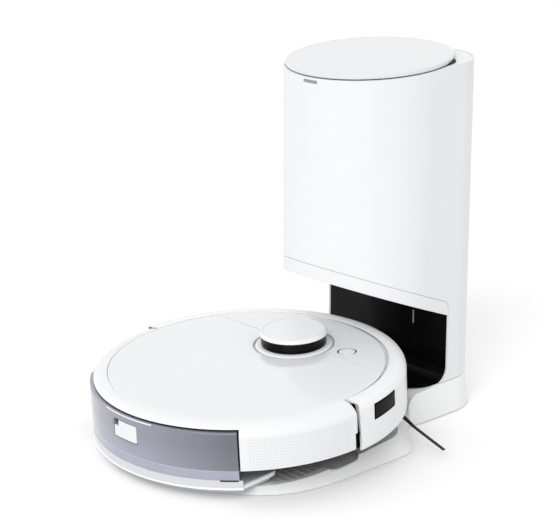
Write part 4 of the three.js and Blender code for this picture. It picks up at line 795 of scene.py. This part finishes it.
def bristle_bundle(route):
    """Fine bristles along one route, spread a little at each of its points."""
    middle = (STRANDS - 1) / 2
    strands = []
    for k in range(STRANDS):
        spread = ((k * 7) % STRANDS - middle) / middle
        lift = ((k * 5) % STRANDS - middle) / middle
        points = []
        for i, point in enumerate(route):
            along = (route[min(i + 1, len(route) - 1)] - route[max(i - 1, 0)]).normalized()
            side = Vector((-along.y, along.x, 0)).normalized()
            points.append(point + side * spread * (2.6 if i == 1 else 1.5) + Vector((0, 0, lift * 0.6)))
        points[-1] += (points[-2] - points[-1]).normalized() * abs(spread)
        for start, end in zip(points, points[1:]):
            strands.append(rod("strand", STRAND_RADIUS, start, end, 6))
    return join("bundle", strands)


class VAC_OT_rear_wall(bpy.types.Operator):
    """Build the rear side wall with its rounded shoulder and the tank's opening"""

    bl_idname = "vacuum.rear_wall"
    bl_label = "Rear wall"

    def execute(self, context):
        r = context.scene.vacuum_robot
        outer, thick = r.wall_radius / MM, 2.4
        inner = r.deck_radius / MM + 0.3
        rings = [(outer - thick, 29.4), (outer - 0.5, 29), (outer, 29.8)]
        rings += quarter(outer, inner, DECK_Z, 14)
        rings += quarter(outer - thick, inner, DECK_Z - thick, 12.5)[::-1]
        wall = turned("rear_wall", rings, 256, loop=True)
        keep_side(wall, (0, -2.6, 0), (0, 1, 0))
        combine(wall, box("seam_step", -200, 200, -5.4, 10, 0, 47))
        reach = TANK_HALF + 0.2
        combine(wall, sector("tank_cut", -90 - reach, -90 + reach, 0, TANK_TOP + 1.9))
        soften(wall, 0.5, 3, 40)
        finish_piece(wall, ROBOT, "robot", "wall", ["side_wall"])
        return {"FINISHED"}


class VAC_OT_bumper(bpy.types.Operator):
    """Build the bumper with its flat top ring and the side sensor's dark window"""

    bl_idname = "vacuum.bumper"
    bl_label = "Bumper"

    def execute(self, context):
        outer, wall, shift = 176.5, 3.0, 3.8  # the hole for the deck lies ahead of the ring's middle
        rings = [(outer - wall, 26), (outer - 1, 26), (outer - 0.3, 26.8), (outer, 29)]
        rings += quarter(outer, outer - 11, DECK_Z, 9, 8)
        for radius, drop in ((156, 0), (155.3, 0.2), (155, 0.8), (155, 2.4)):
            rings.append((radius, DECK_Z - drop, shift))
        rings.append((outer - wall, DECK_Z - 2.4))
        bumper = turned("bumper_shell", rings, 256, loop=True)
        keep_side(bumper, (0, 1, 0), (0, -1, 0))
        combine(bumper, sector("window_cut", 7.25, 21.75, 53.3, 71.9))
        soften(bumper, 0.5, 3, 40)
        finish_piece(bumper, ROBOT, "bumper", "robot", ["bumper"])
        for name, face, low, high, arc, finish, replaced in (
            ("sensor_frame", 176.3, 53.6, 71.6, (7.5, 21.5), "matt", ["sensor_window"]),
            ("sensor_pane", 176.42, 54.9, 70.3, (7.95, 21.05), "dark_glass", ()),
        ):
            pane = arc_band(name, [
                (173.6, low), (face - 0.25, low), (face, low + 0.3), (face, high - 0.3), (face - 0.25, high),
                (173.6, high)], *arc)
            finish_piece(pane, ROBOT, "bumper", finish, replaced)
        return {"FINISHED"}


class VAC_OT_deck(bpy.types.Operator):
    """Build the lift-up flap, the fixed deck ahead of it and the power button"""

    bl_idname = "vacuum.deck"
    bl_label = "Deck"

    def execute(self, context):
        radius = context.scene.vacuum_robot.deck_radius / MM
        flap = disc_part("flap", radius, 76, DECK_Z)
        keep_side(flap, (0, FLAP_Y - GAP, 0), (0, 1, 0))
        combine(flap, rod("turret_cut", DECK_HOLE, (0, TURRET_Y, 60), (0, TURRET_Y, 100), 128))
        soften(flap, 0.6, 4, 40)
        finish_piece(flap, ROBOT, "flap", "deck", ["deck_flap"])

        front = disc_part("front_deck", radius, 73.2, DECK_Z + 0.4)
        keep_side(front, (0, FLAP_Y + GAP, 0), (0, -1, 0))
        combine(front, rod("turret_cut", DECK_HOLE, (0, TURRET_Y, 75), (0, TURRET_Y, 100), 128))
        x, y = 63, 94  # of the power button
        combine(front, rod("button_cut", 11, (x, y, 74.5), (x, y, 100), 64))
        soften(front, 0.6, 4, 40)
        tray = turned("tray", [(159.7, 73), (160, 73.3), (160, 74.8), (159.7, 75), (140, 75)], 128)
        combine(tray, box("bin_cut", -76, 76, -86, 18, 60, 90))
        combine(tray, box("hinge_cut", -170, 170, 69.3, 76.3, 74.2, 78))
        deck = join("deck_body", [front, tray])
        finish_piece(deck, ROBOT, "robot", "deck", ["top_cover"])

        button = turned("start_button", [
            (3.7, 71), (3.7, 76.4), (9.1, 76.4), (9.4, 76.7), (9.4, 78.8), (9.2, 79.3), (8.6, 79.5),
            (4, 79.5)], 96)
        # painted shade: a matt black ring lines the gap round the button
        gap_shade = turned("button_gap_shade", [(9.6, 76.5), (10.95, 76.5), (10.95, 78.7), (9.6, 78.7)], 96, loop=True)
        for obj in (button, gap_shade):
            settle(obj, Matrix.Translation((x * MM, y * MM, 0)))
        finish_piece(gap_shade, ROBOT, "robot", "matt")
        finish_piece(button, ROBOT, "button", "deck", ["power_button"])
        return {"FINISHED"}


class VAC_OT_turret(bpy.types.Operator):
    """Build the turret: base ring, dark window band, cap and turning sensor head"""

    bl_idname = "vacuum.turret"
    bl_label = "Turret"

    def execute(self, context):
        radius = context.scene.vacuum_robot.turret_radius / MM
        base_top, window_top = 80.3, 92.0
        place = ROBOT @ Matrix.Translation((0, TURRET_Y * MM, 0))
        base = turned("turret_ring", [
            (43.6, 75.3), (43.9, 75.6), (43.9, 78.6), (43.6, 79.1), (41.4, 80.2), (40.9, base_top),
            (32, base_top), (32, 77), (20, 77)], 128)
        finish_piece(base, place, "robot", "shell", ["turret_base"])
        band = turned("turret_band", [
            (radius - 3.6, base_top + GAP), (radius - 1.6, base_top + GAP), (radius - 1.1, window_top),
            (radius - 3.6, window_top)], 128, loop=True)
        finish_piece(band, place, "robot", "black", ["turret_window"])
        head = turned("spinner_head", [(27.6, 81.2), (28, 81.6), (28, 90.4), (27.6, 90.8)], 96)
        combine(head, box("left_eye", -18, -6, 20, 40, 82.5, 89.2))
        combine(head, box("right_eye", 6, 18, 20, 40, 82.5, 89.2))
        soften(head, 0.3, 2, 40)
        axis = ROBOT @ Matrix.Translation((0, SPINNER_Y * MM, 0))
        finish_piece(head, axis, "spinner", "dark", ["turret_spinner"])
        low, high = window_top + GAP, window_top + 4.2
        cap = turned("turret_lid", [
            (radius - 0.4, low), (radius, low + 0.3), (radius, low + 1.0), (radius - 0.2, low + 1.4),
            (radius - 2.0, high - 0.35), (radius - 2.6, high - 0.08), (radius - 3.2, high),
            (radius - 3.4, high - 0.9), (radius - 4.3, high - 0.9), (radius - 4.5, high),
            (radius - 10, high)], 128)
        finish_piece(cap, place, "robot", "shell", ["turret_cap"])
        return {"FINISHED"}


class VAC_OT_water_side(bpy.types.Operator):
    """Build the tinted tank, its white strip and latch, and the mop plate with its pad"""

    bl_idname = "vacuum.water_side"
    bl_label = "Water side"

    def execute(self, context):
        low, high, radius = 13.8, TANK_TOP, 174.0
        first, last = -90 - TANK_HALF, -90 + TANK_HALF
        tank = turned("tank_shell", [
            (radius - 5, low), (radius - 2, low + 0.6), (radius - 1.2, low + 1.6), (radius - 0.9, 28.2),
            (radius, 29.0), *quarter(radius, radius - 2.2, high, 2.2, 5)], 256)
        keep_side(tank, (0, -97, 0), (0, 1, 0))
        combine(tank, sector("tank_arc", first + 0.4, last - 0.4, 0, 100), "INTERSECT")
        combine(tank, rounded_niche("latch_niche", 19.6, 43.2, 64.6, -163.4, 2.5))
        combine(tank, rod("filler", 9.3, (-70, -122, 66), (-70, -122, 80), 48))
        soften(tank, 0.9, 3, 40)
        finish_piece(tank, ROBOT, "tank", "tank", ["water_tank"])

        latch = rounded_niche("latch_plate", 18.2, 44.6, 63.8, -167.5, 1.2)
        combine(latch, rod("latch_face", 174.2, (0, 0, 20), (0, 0, 90), 256), "INTERSECT")
        combine(latch, box("corner_cut", -30, -10.2, -190, -160, 56.6, 70))
        flange = box("latch_flange", -19.3, 19.3, -170.5, -167.5, 43.5, 64.3)
        latch = join("latch_push", [soften(latch, 0.6, 3, 40), soften(flange, 0.5, 2, 40)])
        finish_piece(latch, ROBOT, "latch", "shell", ["tank_latch"])
        # painted shade: a dark plate fills the latch's cut corner
        corner_shade = box("latch_corner_shade", -17.8, -10.6, -171.4, -170.2, 57.0, 63.6)
        soften(corner_shade, 0.3, 2)
        finish_piece(corner_shade, ROBOT, "latch", "dark")

        strip = [(169, 68.3), (173.8, 68.3), (173.8, 71.6), (169, 71.6)]
        strip = arc_band("light_strip", strip, -101.4, -76.8)
        soften(strip, 0.5, 3, 40)
        finish_piece(strip, ROBOT, "tank", "shell")
        # painted shade: a dark rubber ring on the tank's top darkens the gap under the wall's shoulder
        shade_ring = [(160, high - 0.2), (169.6, high - 0.2), (169.6, high + 0.5), (160, high + 0.5)]
        shade_ring = arc_band("tank_shade_ring", shade_ring, first + 1, last - 1)
        finish_piece(shade_ring, ROBOT, "tank", "rubber")

        plate = mop_slab("mop_carrier", 0, 6.0, 11.5)
        combine(plate, mop_slab("mop_recess", 3.0, 2.0, 8.0))
        soften(plate, 0.8, 3, 40)
        rim = arc_band("plate_rim", [
            (169, 7.6), (173.9, 7.6), (174.3, 8.2), (174.2, 9.2), (173.7, 9.9), (173.5, 17.6), (173.2, 18.2),
            (172.9, 18.2), (172.9, 10.4), (169, 10.4)], first - 0.6, last + 0.9)
        soften(rim, 0.5, 2, 60)
        plate = join("mop_plate_body", [plate, rim])
        finish_piece(plate, ROBOT, "tank", "clear", ["mop_plate"])
        slot = [(172, 17.0), (173.6, 17.0), (173.6, 18.5), (172, 18.5)]
        slot = arc_band("plate_slot", slot, -52, -45.6)
        finish_piece(slot, ROBOT, "tank", "dark")

        pad = mop_slab("mop_cloth", 3.6, 1.0, 7.6)
        soften(pad, 1.4, 3, 40)
        finish_piece(pad, ROBOT, "tank", "pad", ["mop_pad"])
        return {"FINISHED"}


class VAC_OT_robot_fittings(bpy.types.Operator):
    """Make the side brushes' bristles and finish the chassis, wheels and inner pieces"""

    bl_idname = "vacuum.robot_fittings"
    bl_label = "Robot fittings"

    def execute(self, context):
        hub = Vector((SWEEPER, SWEEPER, 4.8))
        # the first bundle bends and hangs beside the dock plate, the others lie straight
        tufts = [bristle_bundle([
            hub + Vector((1, 5, 0)), Vector((112, 129, 5.2)), Vector((142, 117.5, 3.6)),
            Vector((186.5, 118, -11))])]
        for turn in (math.radians(129), math.radians(249)):
            out = Vector((math.cos(turn), math.sin(turn), 0))
            tufts.append(bristle_bundle([
                hub + out * 5, hub + out * 50 - Vector((0, 0, 1.4)), hub + out * 81 - Vector((0, 0, 1.6))]))
        ring = turned("tuft_ring", [(2.6, 3), (7.6, 3), (8, 3.4), (8, 6.6), (7.6, 7), (2.6, 7)], 48, loop=True)
        settle(ring, Matrix.Translation((SWEEPER * MM, SWEEPER * MM, 0)))
        bristles = join("bristles_right", tufts + [ring])
        other = mirrored(bristles, "bristles_left")
        for obj, side in ((bristles, "right"), (other, "left")):
            finish_piece(obj, ROBOT, f"sweeper_{side}", "bristle", [f"sweeper_bristles_{side}"])

        post = box("seam_post_right", 168.5, 173.8, -7.5, 3.0, 29, 47)
        soften(post, 0.8, 2)
        posts = join("seam_posts", [post, mirrored(post, "seam_post_left")])
        finish_piece(posts, ROBOT, "robot", "matt")
        dress({
            "dark": ["chassis", "dustbin", "battery", "fan", "brush_cover", "caster_cup",
                     "wheel_arm_right", "wheel_arm_left"],
            "trim": ["wheel_hub_right", "wheel_hub_left"],
            "tyre": ["wheel_tyre_right", "wheel_tyre_left", "caster_roller"],
            "blue": ["main_brush", "sweeper_hub_right", "sweeper_hub_left"],
            "fleece": ["dust_filter"],
            "rubber": ["tank_plug"],
        })
        return {"FINISHED"}


# ---------------------------------------------------------------- stage

WORLD_LIGHT = 0.72  # how strongly the white surroundings light the scene
FLOOR_WHITE = 0.86
FLOOR_GLOW = 0.17
SOFTNESS = math.radians(40)  # angle that each lamp fills
LAMPS = (("key", -62, 38, 0.46), ("back", 195, 35, 0.10))  # azimuth, height in degrees, share of light
CAMERA_AT = (1397.8, -1254.5, 778.9)  # with Y counted as on the station
CAMERA_TURN, CAMERA_PITCH = math.radians(47.065), math.radians(16.844)
CAMERA_LENS, CAMERA_SENSOR = 115.74, 36


def seen_directly(tree):
    """One for a ray from the camera, a reflection or a clear surface, zero where it only lights."""
    path = tree.nodes.new("ShaderNodeLightPath")
    found = path.outputs["Is Camera Ray"]
    for kind in ("Is Glossy Ray", "Is Transmission Ray"):
        node = tree.nodes.new("ShaderNodeMath")
        node.operation = "MAXIMUM"
        tree.links.new(found, node.inputs[0])
        tree.links.new(path.outputs[kind], node.inputs[1])
        found = node.outputs[0]
    return found


class VAC_OT_stage(bpy.types.Operator):
    """Set up the pale floor, the soft studio light and the camera"""

    bl_idname = "vacuum.stage"
    bl_label = "Stage"

    def execute(self, context):
        scene = context.scene
        clear_selection()
        bpy.ops.mesh.primitive_plane_add(size=14, location=(0, 0, -0.0002))  # metres
        floor = name_new("floor")
        n = Nodes("floor_white", (FLOOR_WHITE,) * 3, 0.8, Emission_Color=WHITE, Specular_IOR_Level=0.1)
        n.set("Emission Strength", n.math("MULTIPLY", seen_directly(n.tree), FLOOR_GLOW))
        n.set("Roughness", n.span(n.noise(3), 0.75, 0.85))
        floor.data.materials.append(n.material)

        world = bpy.data.worlds.new("studio")
        world.use_nodes = True
        tree = world.node_tree
        back = tree.nodes["Background"]
        back.inputs["Color"].default_value = WHITE
        strength = tree.nodes.new("ShaderNodeMapRange")
        strength.inputs["To Min"].default_value = WORLD_LIGHT
        strength.inputs["To Max"].default_value = 1.0
        tree.links.new(seen_directly(tree), strength.inputs["Value"])
        tree.links.new(strength.outputs["Result"], back.inputs["Strength"])
        scene.world = world

        for name, azimuth, height, share in LAMPS:
            around, above = math.radians(azimuth), math.radians(height)
            flat = math.cos(above)
            place = Vector((math.cos(around) * flat, math.sin(around) * flat, math.sin(above)))
            bpy.ops.object.light_add(type="SUN", location=place * 3)
            lamp = bpy.context.active_object
            lamp.name = name
            lamp.data.angle = SOFTNESS
            lamp.data.energy = share * math.pi
            lamp.rotation_euler = (-place).to_track_quat("-Z", "Y").to_euler()

        x, y, z = CAMERA_AT
        bpy.ops.object.camera_add(location=(x * MM, (y + SHIFT_Y) * MM, z * MM))
        camera = bpy.context.active_object
        camera.rotation_euler = (math.pi / 2 - CAMERA_PITCH, 0, CAMERA_TURN)
        camera.data.sensor_width = CAMERA_SENSOR
        camera.data.lens = CAMERA_LENS
        camera.data.clip_end = 50  # metres
        scene.camera = camera
        scene.view_settings.view_transform = "Standard"
        return {"FINISHED"}


class VAC_PT_panel(bpy.types.Panel):
    """Sidebar panel with the pieces and their settings"""

    bl_label = "Robot vacuum"
    bl_idname = "VAC_PT_panel"
    bl_space_type = "VIEW_3D"
    bl_region_type = "UI"
    bl_category = "Vacuum"

    def draw(self, context):
        layout = self.layout
        scene = context.scene
        for group in (scene.vacuum_station, scene.vacuum_robot, scene.vacuum_look):
            column = layout.box()
            for name in type(group).__annotations__:
                column.prop(group, name)
        for operator in PIECES:
            layout.operator(operator.bl_idname)


PIECES = (
    VAC_OT_column, VAC_OT_trim, VAC_OT_bay_panel, VAC_OT_lid, VAC_OT_station_fittings, VAC_OT_rear_wall,
    VAC_OT_bumper, VAC_OT_deck, VAC_OT_turret, VAC_OT_water_side, VAC_OT_robot_fittings, VAC_OT_stage,
)
CLASSES = (StationSettings, RobotSettings, LookSettings, *PIECES, VAC_PT_panel)


def register():
    for cls in CLASSES:
        bpy.utils.register_class(cls)
    bpy.types.Scene.vacuum_station = bpy.props.PointerProperty(type=StationSettings)
    bpy.types.Scene.vacuum_robot = bpy.props.PointerProperty(type=RobotSettings)
    bpy.types.Scene.vacuum_look = bpy.props.PointerProperty(type=LookSettings)


def unregister():
    del bpy.types.Scene.vacuum_look
    del bpy.types.Scene.vacuum_robot
    del bpy.types.Scene.vacuum_station
    for cls in reversed(CLASSES):
        bpy.utils.unregister_class(cls)


def main():
    register()
    FINISH.update(make_finishes(bpy.context.scene.vacuum_look))
    for piece in PIECES:
        group, name = piece.bl_idname.split(".")
        getattr(getattr(bpy.ops, group), name)()


if __name__ == "__main__":
    main()
